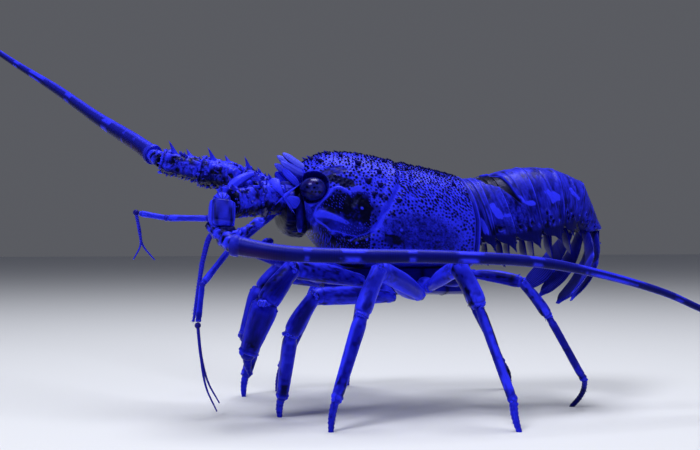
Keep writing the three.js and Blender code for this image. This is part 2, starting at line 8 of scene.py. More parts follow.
import bpy
import numpy as np
from mathutils.kdtree import KDTree
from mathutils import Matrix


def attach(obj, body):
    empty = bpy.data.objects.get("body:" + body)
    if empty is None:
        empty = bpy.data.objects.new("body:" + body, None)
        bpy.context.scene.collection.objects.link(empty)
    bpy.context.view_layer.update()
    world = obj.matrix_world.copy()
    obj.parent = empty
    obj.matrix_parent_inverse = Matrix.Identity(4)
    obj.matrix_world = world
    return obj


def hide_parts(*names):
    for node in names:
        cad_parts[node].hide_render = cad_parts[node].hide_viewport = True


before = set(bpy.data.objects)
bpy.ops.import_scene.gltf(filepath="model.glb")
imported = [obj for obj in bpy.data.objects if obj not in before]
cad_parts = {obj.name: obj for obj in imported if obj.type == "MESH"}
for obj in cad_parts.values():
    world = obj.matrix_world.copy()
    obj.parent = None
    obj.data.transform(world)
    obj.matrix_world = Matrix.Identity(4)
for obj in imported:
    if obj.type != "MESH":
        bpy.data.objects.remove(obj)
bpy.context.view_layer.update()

SHIFT = np.array([15.0, -95.0, 0.0])
MM = 0.001
LEFT = -1
RIGHT = 1
SIDES = (("left", LEFT), ("right", RIGHT))
SEED = 11
rng = np.random.default_rng(SEED)


# Numbers and curves

def unit(vectors):
    vectors = np.asarray(vectors, float)
    return vectors / np.maximum(np.linalg.norm(vectors, axis=-1, keepdims=True), 1e-9)


def smooth(low, high, value):
    """0 up to low, 1 from high on, with a soft start and end."""
    t = np.clip((np.asarray(value, float) - low) / (high - low), 0, 1)
    return t * t * (3 - 2 * t)


def bell(distance, width):
    return np.exp(-((np.asarray(distance, float) / width) ** 2))


def mix(a, b, t):
    return np.asarray(a, float) * (1 - t) + np.asarray(b, float) * t


def powered(value, power):
    return np.sign(value) * np.abs(value) ** power


def along(table, place):
    """Value at a place, on a smooth curve through rows of [place, value, ...]."""
    table = np.asarray(table, float)
    xs = table[:, 0]
    ys = table[:, 1:]
    last = len(xs) - 1
    low = np.maximum(np.arange(last + 1) - 1, 0)
    high = np.minimum(np.arange(last + 1) + 1, last)
    slopes = (ys[high] - ys[low]) / (xs[high] - xs[low])[:, None]
    place = np.clip(np.asarray(place, float), xs[0], xs[-1])
    i = np.clip(np.searchsorted(xs, place) - 1, 0, last - 1)
    span = (xs[i + 1] - xs[i])[..., None]
    t = (place - xs[i])[..., None] / span
    h = t * t * (3 - 2 * t)
    value = (ys[i] * (1 - h) + ys[i + 1] * h
             + t * (1 - t) ** 2 * span * slopes[i] - t * t * (1 - t) * span * slopes[i + 1])
    return value[..., 0] if ys.shape[1] == 1 else value


def evenly(values, share):
    """Value at a share of the way through evenly spaced values."""
    return along(np.column_stack([np.linspace(0, 1, len(values)), values]), share)


def lengths(points):
    return np.concatenate([[0], np.cumsum(np.linalg.norm(np.diff(points, axis=0), axis=1))])


def between(a, b, start, end, t):
    return ((end - t) * a + (t - start) * b) / (end - start)


def curve(points, count):
    """Evenly spaced points on a smooth curve through the given ones."""
    p = np.asarray(points, float)
    p = np.vstack([2 * p[0] - p[1], p, 2 * p[-1] - p[-2]])
    k = np.concatenate([[0], np.cumsum(np.sqrt(np.linalg.norm(np.diff(p, axis=0), axis=1)))])
    fine = []
    for i in range(1, len(p) - 2):
        t = np.linspace(k[i], k[i + 1], 40, endpoint=False)[:, None]
        a = [between(p[j], p[j + 1], k[j], k[j + 1], t) for j in (i - 1, i, i + 1)]
        b = [between(a[n], a[n + 1], k[i - 1 + n], k[i + 1 + n], t) for n in (0, 1)]
        fine.append(between(b[0], b[1], k[i], k[i + 1], t))
    fine = np.vstack(fine + [p[-2:-1]])
    walk = lengths(fine)
    even = np.linspace(0, walk[-1], count)
    return np.stack([np.interp(even, walk, fine[:, n]) for n in range(3)], axis=1)


def mirrored(points, side):
    return np.asarray(points, float) * np.array([1, side, 1])


def near_line(line, a, b):
    """Distance of the places (a, b) from a line through rows of (a, b)."""
    best = np.full(np.shape(a), 1e9)
    for (a0, b0), (a1, b1) in zip(line[:-1], line[1:]):
        da, db = a1 - a0, b1 - b0
        t = np.clip(((a - a0) * da + (b - b0) * db) / (da * da + db * db), 0, 1)
        best = np.minimum(best, np.hypot(a - a0 - t * da, b - b0 - t * db))
    return best


def in_oval(a, b, centre, radii):
    """1 at the middle of an oval, 0 at its edge, negative outside."""
    return 1 - np.hypot((a - centre[0]) / radii[0], (b - centre[1]) / radii[1])


def stacked(*values):
    return np.stack(np.broadcast_arrays(*values), -1)


def painted(pale, dark=0.0, warm=0.0):
    """Paint of points: how pale, how dark and how reddish each is."""
    return stacked(pale, dark, warm)


# Small random relief

HASH = np.array([127.1, 311.7, 74.7])
HASH_SCALE = 43758.5453
SEED_STEP = 7.3


def lumps(points, size, seed=0.0):
    """Smooth random value from -1 to 1 whose features have the given size."""
    p = np.asarray(points, float) / size + seed * SEED_STEP
    cell = np.floor(p)
    f = p - cell
    f = f * f * (3 - 2 * f)
    total = 0
    for corner in product((0, 1), repeat=3):
        value = np.sin((cell + corner) @ HASH + seed) * HASH_SCALE
        value = (value - np.floor(value)) * 2 - 1
        total = total + value * np.abs(1 - np.array(corner) - f).prod(-1)
    return total


def skin_place(place, out, stretch=1.0, turn=1.0, axes=(1, 2)):
    """Where a point of a limb's skin lies, for lumps: distance along and two outward directions."""
    return np.stack([place * stretch] + [out[..., n] * turn for n in axes], -1)


# Gathering a piece

SHARP_ANGLE = math.radians(40)


class Mesh:
    """Points, faces and paint of one piece, with each point's place on it for the material's noises."""

    def __init__(self):
        self.points, self.quads, self.tris, self.paint, self.lay = [], [], [], [], []
        self.count = 0

    def add(self, points, quads, tris, paint, lay=None):
        self.quads.append(quads.reshape(-1, 4) + self.count)
        self.tris.append(tris.reshape(-1, 3) + self.count)
        self.points.append(points)
        self.paint.append(paint)
        self.lay.append(points if lay is None else lay)
        self.count += len(points)

    def rings(self, rings, paint=(0, 0, 0), lay=None):
        """Closed skin over rings of points, with a fan over each end."""
        rows, cols = rings.shape[:2]
        r = np.arange(rows - 1)[:, None] * cols
        k = np.arange(cols)
        after = (k + 1) % cols
        quads = np.stack([r + k, r + after, r + after + cols, r + k + cols], -1).reshape(-1, 4)
        low = np.stack([np.full(cols, rows * cols), after, k], -1)
        last_row = np.array([0, 1, 1]) * (rows - 1) * cols
        high = np.stack([np.full(cols, rows * cols + 1), k, after], -1) + last_row
        tris = np.vstack([low, high])

        def with_ends(values):
            return np.vstack([values.reshape(-1, 3), values[[0, -1]].mean(axis=1)])

        points = with_ends(rings)

        def volume(faces, n):
            p = points[faces]
            return np.einsum("ij,ij->i", p[:, 0], np.cross(p[:, n - 1], p[:, n])).sum()

        if volume(quads, 2) + volume(quads, 3) + volume(tris, 2) < 0:
            quads, tris = quads[:, ::-1], tris[:, ::-1]
        paint = with_ends(np.broadcast_to(np.asarray(paint, float), rings.shape))
        self.add(points, quads, tris, paint, with_ends(rings if lay is None else lay))

    def piece(self, name, material, slot, node):
        data = bpy.data.meshes.new(name)
        above_floor = np.maximum(np.vstack(self.points), (-np.inf, -np.inf, 0))
        points = (above_floor + SHIFT) * MM
        faces = [face for group in self.quads + self.tris for face in group.tolist()]
        data.from_pydata(points.tolist(), [], faces)
        data.update()
        paint = np.clip(np.vstack(self.paint), 0, 1)
        paint = np.hstack([paint, np.ones((len(paint), 1))])
        colours = data.attributes.new("paint", "FLOAT_COLOR", "POINT")
        colours.data.foreach_set("color", paint.astype(np.float32).ravel())
        lay = data.attributes.new("lay", "FLOAT_VECTOR", "POINT")
        lay.data.foreach_set("vector", np.vstack(self.lay).astype(np.float32).ravel())
        data.shade_smooth()
        data.set_sharp_from_angle(angle=SHARP_ANGLE)
        data.materials.append(material)
        piece = bpy.data.objects.new(name, data)
        bpy.context.scene.collection.objects.link(piece)
        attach(piece, "root")
        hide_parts(node)


def tube(mesh, points, across, up, hint=(0, 0, 1), sides=16, paint=(0, 0, 0), swell=None,
         facing=(None, None), square=1.0):
    """Sweeps an oval of half-widths across and up along points, with its top towards hint. paint
    and swell are given the distance along, the angle round and the outward direction of every
    point; a square below 1 makes the oval boxy."""
    points = np.asarray(points, float)
    way = np.gradient(points, axis=0)
    for end, given in zip((0, -1), facing):
        if given is not None:
            way[end] = given
    way = unit(way)
    side = unit(np.cross(way, hint))[:, None]
    top = np.cross(side, way[:, None])
    angle = 2 * np.pi * (np.arange(sides) + 0.5)[None, :] / sides
    c, s = powered(np.cos(angle), square), powered(np.sin(angle), square)
    across = np.broadcast_to(across, len(points))[:, None]
    up = np.broadcast_to(up, len(points))[:, None]
    out = unit(side * (np.cos(angle) * up)[..., None] + top * (np.sin(angle) * across)[..., None])
    place = np.broadcast_to(lengths(points)[:, None], out.shape[:2])
    turn = np.broadcast_to(angle, out.shape[:2])
    rings = points[:, None] + side * (c * across)[..., None] + top * (s * up)[..., None]
    if swell is not None:
        rings = rings + out * np.asarray(swell(place, turn, out))[..., None]
    lay = np.stack([place, c * across, s * up], -1)
    mesh.rings(rings, paint(place, turn, out) if callable(paint) else paint, lay)


# How wide a thorn is at each share of its length, the first below its foot
THORN_SHAPE = [(None, 1.25), (0.06, 0.95), (0.38, 0.6), (0.75, 0.28)]


def spikes(mesh, feet, ways, length, radius, sides=5, lean=(0, 0, 0), base=(0, 0.9, 0), tip=(0.1, 0.6, 0),
           sunk=0.2):
    """Curved thorns or hairs on feet, along ways, bent towards lean and painted from base to tip."""
    feet = np.asarray(feet, float).reshape(-1, 3)
    count = len(feet)
    if not count:
        return
    ways = unit(np.broadcast_to(ways, feet.shape))
    length = np.broadcast_to(length, count)[:, None]
    radius = np.broadcast_to(radius, count)[:, None]
    helper = np.where(np.abs(ways[:, 2:]) > 0.9, [[1.0, 0, 0]], [[0, 0, 1.0]])
    u = unit(np.cross(ways, helper))
    v = np.cross(ways, u)
    bend = np.broadcast_to(lean, feet.shape)
    angle = 2 * np.pi * np.arange(sides)[:, None] / sides
    rings, shades = [], []
    for share, size in THORN_SHAPE:
        share = -sunk if share is None else share
        middle = feet + ways * length * share + bend * length * max(share, 0) ** 2
        around = u[:, None] * np.cos(angle) + v[:, None] * np.sin(angle)
        rings.append(middle[:, None] + (radius * size)[:, None] * around)
        shades += [mix(base, tip, max(share, 0))] * sides
    tips = feet + ways * length + bend * length
    points = np.concatenate([np.stack(rings, 1).reshape(count, -1, 3), tips[:, None]], axis=1)
    per = points.shape[1]
    k = np.arange(sides)
    after = (k + 1) % sides
    r = np.arange(len(THORN_SHAPE) - 1)[:, None] * sides
    quads = np.stack([r + k, r + after, r + after + sides, r + k + sides], -1).reshape(-1, 4)
    top = per - 1 - sides
    point = np.stack([top + k, top + after, np.full(sides, per - 1)], -1)
    bottom = np.stack([np.zeros(sides - 2, int), k[2:], k[1:-1]], -1)
    tris = np.concatenate([point, bottom])
    step = (np.arange(count) * per)[:, None, None]
    paint = np.broadcast_to(np.array(shades + [np.array(tip, float)]), points.shape)
    mesh.add(points.reshape(-1, 3), quads + step, tris + step, paint.reshape(-1, 3))


def ball(mesh, centre, radii, around=24, high=14, paint=(0, 0, 0), swell=None):
    """Ellipsoid whose poles lie up and down. paint and swell are given the outward direction."""
    polar = np.pi * (np.arange(high) + 0.5)[:, None] / high
    angle = 2 * np.pi * np.arange(around)[None, :] / around
    out = np.stack([np.sin(polar) * np.cos(angle), np.sin(polar) * np.sin(angle),
                    np.cos(polar) + 0 * angle], -1)
    more = 0 if swell is None else swell(out)
    rings = np.asarray(centre, float) + out * (np.asarray(radii, float) + np.asarray(more)[..., None])
    mesh.rings(rings, paint(out) if callable(paint) else paint)


def leaf(mesh, points, wide, thick, facing, ribs=11, pale=1.0, shaded=0.0):
    """Flat ribbed plate along points, with its broad face towards facing and its lower edge shaded."""
    t = np.linspace(0, 1, 50)

    def paint(place, angle, out):
        under = np.cos(angle) * np.sign(facing[1])
        furrow = smooth(0.3, 0.9, np.cos(np.cos(angle) * ribs))
        return painted(pale - 0.3 * furrow, shaded * smooth(0.62, 0.9, under))

    def swell(place, angle, out):
        return 0.14 * np.cos(np.cos(angle) * ribs) * smooth(0, 1, t)[:, None]

    tube(mesh, curve(points, 50), along(wide, t), along(thick, t), facing, 40, paint, swell)


HAIR_LEAN = (0, 0, -0.25)


def fringe(mesh, points, ways, count, length, radius, base=(0.5, 0.1, 0), tip=(0.8, 0, 0), spread=0.35):
    """Hairs on random points of a set, along their ways with some spread."""
    points = np.asarray(points, float)
    chosen = rng.integers(0, len(points), count)
    way = unit(np.broadcast_to(ways, points.shape)[chosen] + rng.normal(0, spread, (count, 3)))
    spikes(mesh, points[chosen], way, length * rng.uniform(0.6, 1.2, count), radius, sides=3,
           lean=HAIR_LEAN, base=base, tip=tip)


# Materials: each has a ground that two colours share, and a pale, dark and reddish one for the paint

def colour(code):
    values = [int(code[i:i + 2], 16) / 255 for i in (1, 3, 5)]
    return [v / 12.92 if v <= 0.04045 else ((v + 0.055) / 1.055) ** 2.4 for v in values] + [1]


INK = "#010110"
DEEP = "#040557"
BLUE = "#090b8c"
BRIGHT = "#1215c4"
PALE = "#2c33ff"
WARM = "#3d1a5c"
GLOSS_TINT = (0.12, 0.15, 1.0, 1.0)
GLOSS = 0.3
SHELL_IOR = 1.45
COAT_ROUGHNESS = 0.15
BUMP_HEIGHT = 0.0004


def shell_material(name, ground, second, pale, dark, grain=0.5, streak=1.0, rough=(0.3, 0.5),
                   relief=0.25, coat=0.0, speckled=0.35):
    """grain is features per millimetre; streak stretches them along a limb's length."""
    material = bpy.data.materials.new(name)
    material.use_nodes = True
    tree = material.node_tree
    tree.nodes.clear()

    def node(kind, inputs, **settings):
        made = tree.nodes.new(f"ShaderNode{kind}")
        for key, value in settings.items():
            setattr(made, key, value)
        for key, value in inputs.items():
            if isinstance(value, bpy.types.NodeSocket):
                tree.links.new(value, made.inputs[key])
            else:
                made.inputs[key].default_value = value
        return made

    def maths(operation, *values, clamp=False):
        return node("Math", dict(enumerate(values)), operation=operation, use_clamp=clamp).outputs[0]

    def blend(share, a, b):
        return node("Mix", {0: share, 6: a, 7: b}, data_type="RGBA").outputs[2]

    def noise(place, scale, detail, roughness=0.5):
        settings = {"Vector": place, "Scale": scale, "Detail": detail, "Roughness": roughness}
        return node("TexNoise", settings).outputs[0]

    paint = node("Attribute", {}, attribute_name="paint").outputs["Color"]
    is_pale, is_dark, is_warm = node("SeparateColor", {"Color": paint}).outputs
    lay = node("Attribute", {}, attribute_name="lay").outputs["Vector"]
    place = node("Mapping", {"Vector": lay, "Scale": (grain / streak, grain, grain)}).outputs[0]
    broad = noise(place, 0.45, 3.0, 0.6)
    fine = noise(place, 2.2, 4.0, 0.65)
    grit = noise(lay, 2.6, 2.0)
    body = blend(maths("MULTIPLY_ADD", broad, 2.6, -0.8, clamp=True), colour(ground), colour(second))
    speck = maths("MULTIPLY_ADD", fine, 3.0, -1.35, clamp=True)
    body = blend(maths("MULTIPLY", speck, speckled), body, colour(dark))
    uneven = maths("MULTIPLY", maths("SUBTRACT", fine, 0.5), maths("MULTIPLY", is_pale, 1.1))
    body = blend(maths("ADD", is_pale, uneven, clamp=True), body, colour(pale))
    body = blend(is_warm, body, colour(WARM))
    body = blend(is_dark, body, colour(dark))
    roughness = node("MapRange", {0: fine, 3: rough[0], 4: rough[1]}).outputs[0]
    height = maths("ADD", maths("MULTIPLY", fine, 0.7), maths("MULTIPLY", grit, 0.3))
    raised = node("Bump", {"Strength": relief, "Distance": BUMP_HEIGHT, "Height": height}).outputs[0]
    shader = node("BsdfPrincipled", {
        "Base Color": body, "Roughness": roughness, "Normal": raised, "IOR": SHELL_IOR,
        "Specular Tint": GLOSS_TINT, "Specular IOR Level": GLOSS,
        "Coat Weight": coat, "Coat Roughness": COAT_ROUGHNESS,
    })
    node("OutputMaterial", {0: shader.outputs[0]})
    return material


SHELL = shell_material("spotted_shell", BLUE, BRIGHT, PALE, INK)
FLANK = shell_material("flank_shell", DEEP, BLUE, PALE, INK, grain=0.6, rough=(0.28, 0.48), speckled=0.55)
HEAD = shell_material("mottled_head", DEEP, BLUE, PALE, INK, grain=0.8, relief=0.4)
LIMB = shell_material("streaked_limb", BLUE, BRIGHT, PALE, INK, grain=0.6, streak=7.0)
FEELER = shell_material("banded_feeler", "#020334", "#05065a", PALE, INK, streak=5.0)
HORN = shell_material("pale_horn", BRIGHT, PALE, "#5a62ff", DEEP, streak=3.0)
BELOW = shell_material("underside", DEEP, BLUE, BRIGHT, INK, grain=0.4)
EYE = shell_material("eye", "#03042a", "#0c1070", "#2a30b0", "#00000a", grain=0.9, rough=(0.14, 0.24),
                     relief=0.03, coat=0.12)
FAN = shell_material("tail_fan", DEEP, BLUE, PALE, INK, grain=0.4, streak=3.0)


# Carapace

CARAPACE_FRONT = -36
CARAPACE_REAR = 85
SHELL_END = 83.5
HALF_WIDTH = [[-36, 27], [-26, 30.5], [-8, 36], [12, 39], [45, 41], [72, 40], [85, 38]]
TOP_LINE = [[-36, 169], [-23, 176.5], [-6, 178], [12, 176], [31, 171.3], [58, 166.8], [85, 161.4]]
WIDEST = [[-36, 147], [-20, 140], [0, 133], [85, 130]]
LOWER_EDGE = [[-36, 131], [-24, 114], [-8, 100.5], [4, 98], [85, 98]]
UPPER_ROUND = 2 / 2.15
LOWER_ROUND = 2 / 2.9
RIM_LEAN = 7
RIM_LEAN_FROM = 45
EYE_PLACE = np.array([-31, 24, 152.3])
EYE_RADII = np.array([9.4, 8.2, 8.2])
ORBIT_RADII = np.array([12.2, 11.5, 11.5])

# Lines and patches of the shell, as (place along the body, distance down from the ridge)
NECK_GROOVE = [(31, 0), (30.5, 15), (29.5, 30), (26.9, 42), (18.6, 58.4), (13.6, 65), (7.6, 76), (-5, 80),
               (-19, 77)]
PALE_GROOVE = [(26.4, 41), (20.1, 51.8), (15.4, 60), (11.1, 71), (8, 74.4)]
LOW_LINE = [(8, 74.4), (2.8, 77.3), (-2.4, 78.7), (-7.2, 81.7)]
ORBIT_MARGIN = [(-7, 50), (-9.9, 46.9), (-13.7, 44.6), (-17.2, 44.3), (-21.7, 48.3), (-25.7, 50.3), (-29, 52),
                (-32.5, 60)]
BROW_LINE = [(-33, 21), (-24.5, 26.1), (-15, 27.5), (-10.7, 27.3)]
DARK_BROW = [(-22, 35.5), (-15, 38), (-5.9, 43), (-12, 42.5)]
LOBE = [(-25, 60.5), (-17, 67)]
LOBE_TOP = [(-28, 56.5), (-23, 60), (-15.7, 65), (-9.5, 69.2)]
LOBE_LOW = [(-29.6, 56.5), (-28.6, 60), (-25.7, 64.2), (-19.5, 72), (-15, 74), (-10, 76.8), (-4, 78.6)]
SIDE_STRIP = [(32, 50.6), (36, 49.4), (41, 49.4), (46, 48), (51, 47.8)]
# Patches also have their two radii
GREY_BROW = ((-17, 31.5), (11, 4.6))
DOME = ((-2.5, 60.5), (10, 11))
DOME_REAR = ((6.5, 65), (8, 11))
BRIGHT_SPOT = ((-3.2, 47.4), (5, 4.4))
CHEEK = ((-16.5, 54), (9, 9))
SMOOTH_PATCH = ((21.5, 80), (8.5, 4.2))
FINE_PATCH = ((41, 73), (29, 14))
# Dots and thorns as (place along the body, distance down, radius)
BRIGHT_DOTS = [
    (-18, 74.5, 1.7), (-10.9, 77, 1.4), (-29.2, 63.5, 1.9), (26.6, 72, 1.5), (0.2, 60.3, 1.0),
    (15.5, 58.5, 1.9), (22.5, 45.5, 1.8), (9, 74.5, 1.6), (12.5, 78, 1.4), (-3, 83, 1.0), (3.5, 81, 1.0),
]
LARGE_THORNS = [
    (5.3, 41.2, 2.8), (0.3, 26.2, 2.7), (14.1, 32.2, 2.1), (13.6, 43.4, 2.4), (8.4, 50.3, 2),
    (12.9, 50.8, 1.7), (16.2, 52.6, 1.8), (24.6, 52.7, 2.3), (-24.5, 19, 2.2), (68.7, 31.8, 1.7),
    (-10, 16, 2), (2, 13, 1.8), (20, 17, 1.7), (34, 24, 1.5), (48, 14, 1.5), (60, 22, 1.5), (-18, 11, 2.1),
    (-29, 9, 2.2), (20.6, 62, 1.5),
]
# The low front of the shell, ahead of the first and below the second
FRONT_LOW = (6, 49)
RIM_GROOVE = 79.9
RIM_START = 77.9
RIM_LINES = (78.6, 82.2)
THORNS_DOWN_TO = 47
SPOTS_DOWN_TO = 98
# Gaps between spots on the front, the rear, the fine patch and the low front; a small spot has less
# than the last
GAPS = (2.1, 1.8, 1.3, 1.45)
SMALL_GAP = 1.46
SPOT_RADII = (0.42, 0.76, 1.15)
SPOT_SMALL = 0.5
WIDE_SPOT_SHARE = 0.08
# Where the rings are counted out, how far apart they are, and how much closer above than below an angle
SECTION_AT = 30.0
SECTION_STEPS = 1500
RING_STEP = 0.54
LOW_FROM = math.radians(215)
LOW_WEIGHT = 0.22


def carapace_point(x, angle):
    upper = np.sin(angle) > 0
    power = np.where(upper, UPPER_ROUND, LOWER_ROUND)
    level = along(WIDEST, x)
    reach = np.where(upper, along(TOP_LINE, x) - level, level - along(LOWER_EDGE, x))
    rearward = np.clip((x - RIM_LEAN_FROM) / (CARAPACE_REAR - RIM_LEAN_FROM), 0, 1)
    c, s = np.cos(angle), np.sin(angle)
    return np.stack([
        x - RIM_LEAN * rearward * np.maximum(s, 0),
        along(HALF_WIDTH, x) * powered(c, power),
        level + reach * powered(s, power),
    ], -1)


def carapace_grid():
    """Places along the body and down from the ridge, their points, and how many points a side has."""
    fine = np.linspace(np.pi / 2, 3 * np.pi / 2, SECTION_STEPS)
    section = carapace_point(np.full(SECTION_STEPS, SECTION_AT), fine)
    weight = np.where(fine < LOW_FROM, 1.0, LOW_WEIGHT)
    step = np.linalg.norm(np.diff(section, axis=0), axis=1) * weight[1:]
    walk = np.concatenate([[0], np.cumsum(step)])
    per_side = int(walk[-1] / RING_STEP)
    even = np.linspace(0, walk[-1], per_side, endpoint=False) + walk[-1] / per_side / 2
    half = np.interp(even, walk, fine)
    angles = np.concatenate([half, (3 * np.pi - half)[::-1]])
    stations = np.linspace(CARAPACE_FRONT, SHELL_END, int((SHELL_END - CARAPACE_FRONT) / RING_STEP))
    x, angle = np.meshgrid(stations, angles, indexing="ij")
    grid = carapace_point(x, angle)
    step = np.linalg.norm(np.diff(grid[:, :per_side], axis=1), axis=2)
    first = np.abs(grid[:, :1, 1])
    down = np.concatenate([first, first + np.cumsum(step, axis=1)], axis=1)
    return x, np.concatenate([down, down[:, ::-1]], axis=1), grid, per_side


def in_orbit(points):
    """How far points are from the middle of the eye's hollow: 1 is its edge."""
    middle = np.where(points[..., 1:2] < 0, EYE_PLACE * [1, -1, 1], EYE_PLACE)
    return np.sqrt((((points - middle) / ORBIT_RADII) ** 2).sum(-1))


def normals(grid):
    """Outward directions of a grid of points whose second way goes round the body."""
    wrapped = np.concatenate([grid[:, -1:], grid, grid[:, :1]], axis=1)
    out = unit(np.cross(np.gradient(grid, axis=0), (wrapped[:, 2:] - wrapped[:, :-2]) / 2))
    middle = grid.mean(axis=1, keepdims=True)
    return out * np.sign(np.sum(out * (grid - middle)))


def scatter(points, gaps, allowed):
    """Indices of points that keep their own gap from each other, in a fixed random order."""
    order = rng.permutation(np.flatnonzero(allowed))
    cells = np.floor(points / float(gaps[allowed].max())).astype(int)
    around = list(product((-1, 0, 1), repeat=3))
    taken = {}
    kept = []
    for i in order:
        x, y, z = cells[i]
        near = [j for dx, dy, dz in around for j in taken.get((x + dx, y + dy, z + dz), ())]
        if not near or ((points[near] - points[i]) ** 2).sum(axis=1).min() >= gaps[i] * gaps[i]:
            kept.append(i)
            taken.setdefault((x, y, z), []).append(i)
    return np.array(kept, int)


def nearest_spots(points, wanted, seats, sizes):
    """Distance of wanted points from the nearest spot, in its radii, and which spot that is."""
    tree = KDTree(len(seats))
    for n, seat in enumerate(seats):
        tree.insert(points[seat], n)
    tree.balance()
    near = np.full(len(points), 9.0)
    kind = np.zeros(len(points), int)
    for i in np.flatnonzero(wanted):
        _, kind[i], distance = tree.find(points[i])
        near[i] = distance / sizes[kind[i]]
    return near, kind


def carapace():
    x, down, grid, per_side = carapace_grid()
    out = normals(grid)
    spread = np.stack([x, np.sign(grid[..., 1]) * down, 0 * x], -1)
    coarse, middling, grit = lumps(spread, 4.2, 1), lumps(spread, 1.9, 2), lumps(spread, 0.95, 3)
    groove, margin, lobe, lobe_top, lobe_low, low_line, strip, pale_groove, brow_line, dark_brow = (
        near_line(line, x, down) for line in (NECK_GROOVE, ORBIT_MARGIN, LOBE, LOBE_TOP, LOBE_LOW, LOW_LINE,
                                              SIDE_STRIP, PALE_GROOVE, BROW_LINE, DARK_BROW))
    dome, dome_rear, bright, cheek, grey_brow, patch, fine_patch = (
        in_oval(x, down, *oval) for oval in (DOME, DOME_REAR, BRIGHT_SPOT, CHEEK, GREY_BROW, SMOOTH_PATCH,
                                             FINE_PATCH))
    dark_brow = dark_brow + 1.2 * middling
    dome = dome + 0.22 * coarse + 0.12 * middling
    dome_rear = smooth(-0.1, 0.3, dome_rear + 0.2 * coarse)
    bright = bright + 0.25 * coarse
    fine_patch = fine_patch + 0.15 * coarse
    in_front = x < FRONT_LOW[0]
    front_low = in_front & (down > FRONT_LOW[1])
    dots = np.zeros(x.shape)
    for a, b, size in BRIGHT_DOTS:
        dots = np.maximum(dots, smooth(1.25, 0.6, np.hypot(x - a, down - b) / size + 0.3 * middling))
    stripe = lobe_top / np.interp(x, [-28, -9], [1.25, 0.6])
    hollow = smooth(1.12, 0.96, in_orbit(grid))

    # Relief
    height = -1.5 * bell(groove, 1.9) + 0.8 * bell(groove - 4.5, 2.5)
    height += 0.9 * bell(margin, 0.8) + 1.3 * smooth(0, 0.75, dome) + 0.8 * smooth(-0.2, 0.6, bright)
    height += 1.1 * smooth(7, 2, lobe) + 0.9 * smooth(2.6, 1.2, stripe) + 0.6 * bell(lobe_low, 0.8)
    height += 0.5 * bell(low_line, 0.7) + 0.3 * bell(strip, 1.0) + 0.5 * bell(brow_line, 0.8) + 0.6 * dots
    height += -0.9 * bell(x - RIM_GROOVE, 0.7) + 0.5 * smooth(80.3, 82, x) - 1.2 * smooth(82.7, SHELL_END, x)
    height += 0.35 * bell(x - RIM_LINES[0], 0.6) + 0.14 * middling + 0.07 * grit

    # Paint without the spots
    pale = 0.85 + 0.2 * coarse - 0.4 * smooth(0, 0.4, fine_patch) - 0.3 * smooth(66, 84, down)
    mottled = 0.1 + 0.35 * middling + 0.3 * grit + 0.25 * smooth(60, 68, down)
    pale = mix(pale, mottled, 0.95 * smooth(-0.1, 0.3, dome))
    pale *= 1 - 0.55 * dome_rear
    pale *= np.where(front_low, 0.2, 1)
    pale *= 1 - 0.9 * smooth(3.4, 2.2, dark_brow)
    pale *= 1 - 0.9 * smooth(0, 0.4, patch)
    pale = mix(pale, 0.05 + 0.5 * middling, smooth(0, 0.25, grey_brow))
    pale *= np.where(x > RIM_START, 0.4, 1)
    pale += 0.4 * bell(strip, 0.9) + 1.1 * smooth(0, 0.5, bright)
    dark = np.clip(0.62 - 0.5 * middling - 0.4 * grit - 0.3 * smooth(58, 68, down), 0, 1)
    dark *= smooth(-0.05, 0.25, dome)
    dark += 0.95 * smooth(3.2, 2.0, dark_brow) + 0.5 * dome_rear + 0.75 * smooth(-0.1, 0.3, cheek)
    dark += 0.75 * smooth(-0.1, 0.5, patch + 0.3 * middling)
    dark += smooth(0, 0.25, fine_patch) * (0.47 + 0.45 * np.clip(grit + 0.8 * middling, -1, 1))
    dark += 0.6 * bell(fine_patch - 0.08, 0.08) * smooth(-0.1, 0.5, middling)
    dark += front_low * np.where(lobe > 6, 0.55, 0.3 - 0.4 * middling)
    dark += (in_front & (down > 80)) * (0.45 - 0.3 * bell(down - 85.5 - middling, 0.8))
    dark += 0.7 * bell(x - RIM_GROOVE, 0.6) + 0.5 * smooth(84, 96, down) + 0.4 * smooth(80, 81, x)
    dark += front_low * (0.4 * smooth(74, 80, down) + 0.4 * smooth(-15, -22, x) * smooth(63, 67, down))
    dark += (0.4 - 0.5 * middling - 0.3 * grit) * smooth(0, 0.25, grey_brow)
    for line, wide, strength in (
            (margin, 0.8, 1.0), (stripe, 1.8, 1.0), (lobe_low, 0.55, 1.0), (low_line, 0.55, 0.8),
            (pale_groove + 0.7 * middling, 2.5, 0.95), (brow_line, 0.7, 0.7),
            (np.abs(x - RIM_LINES[0]), 0.55, 0.9), (np.abs(x - RIM_LINES[1]), 0.5, 0.8)):
        mask = smooth(wide * 1.35, wide * 0.75, line)
        pale = np.maximum(pale, strength * mask)
        dark *= 1 - mask
    pale = np.maximum(pale, dots)
    dark *= 1 - dots

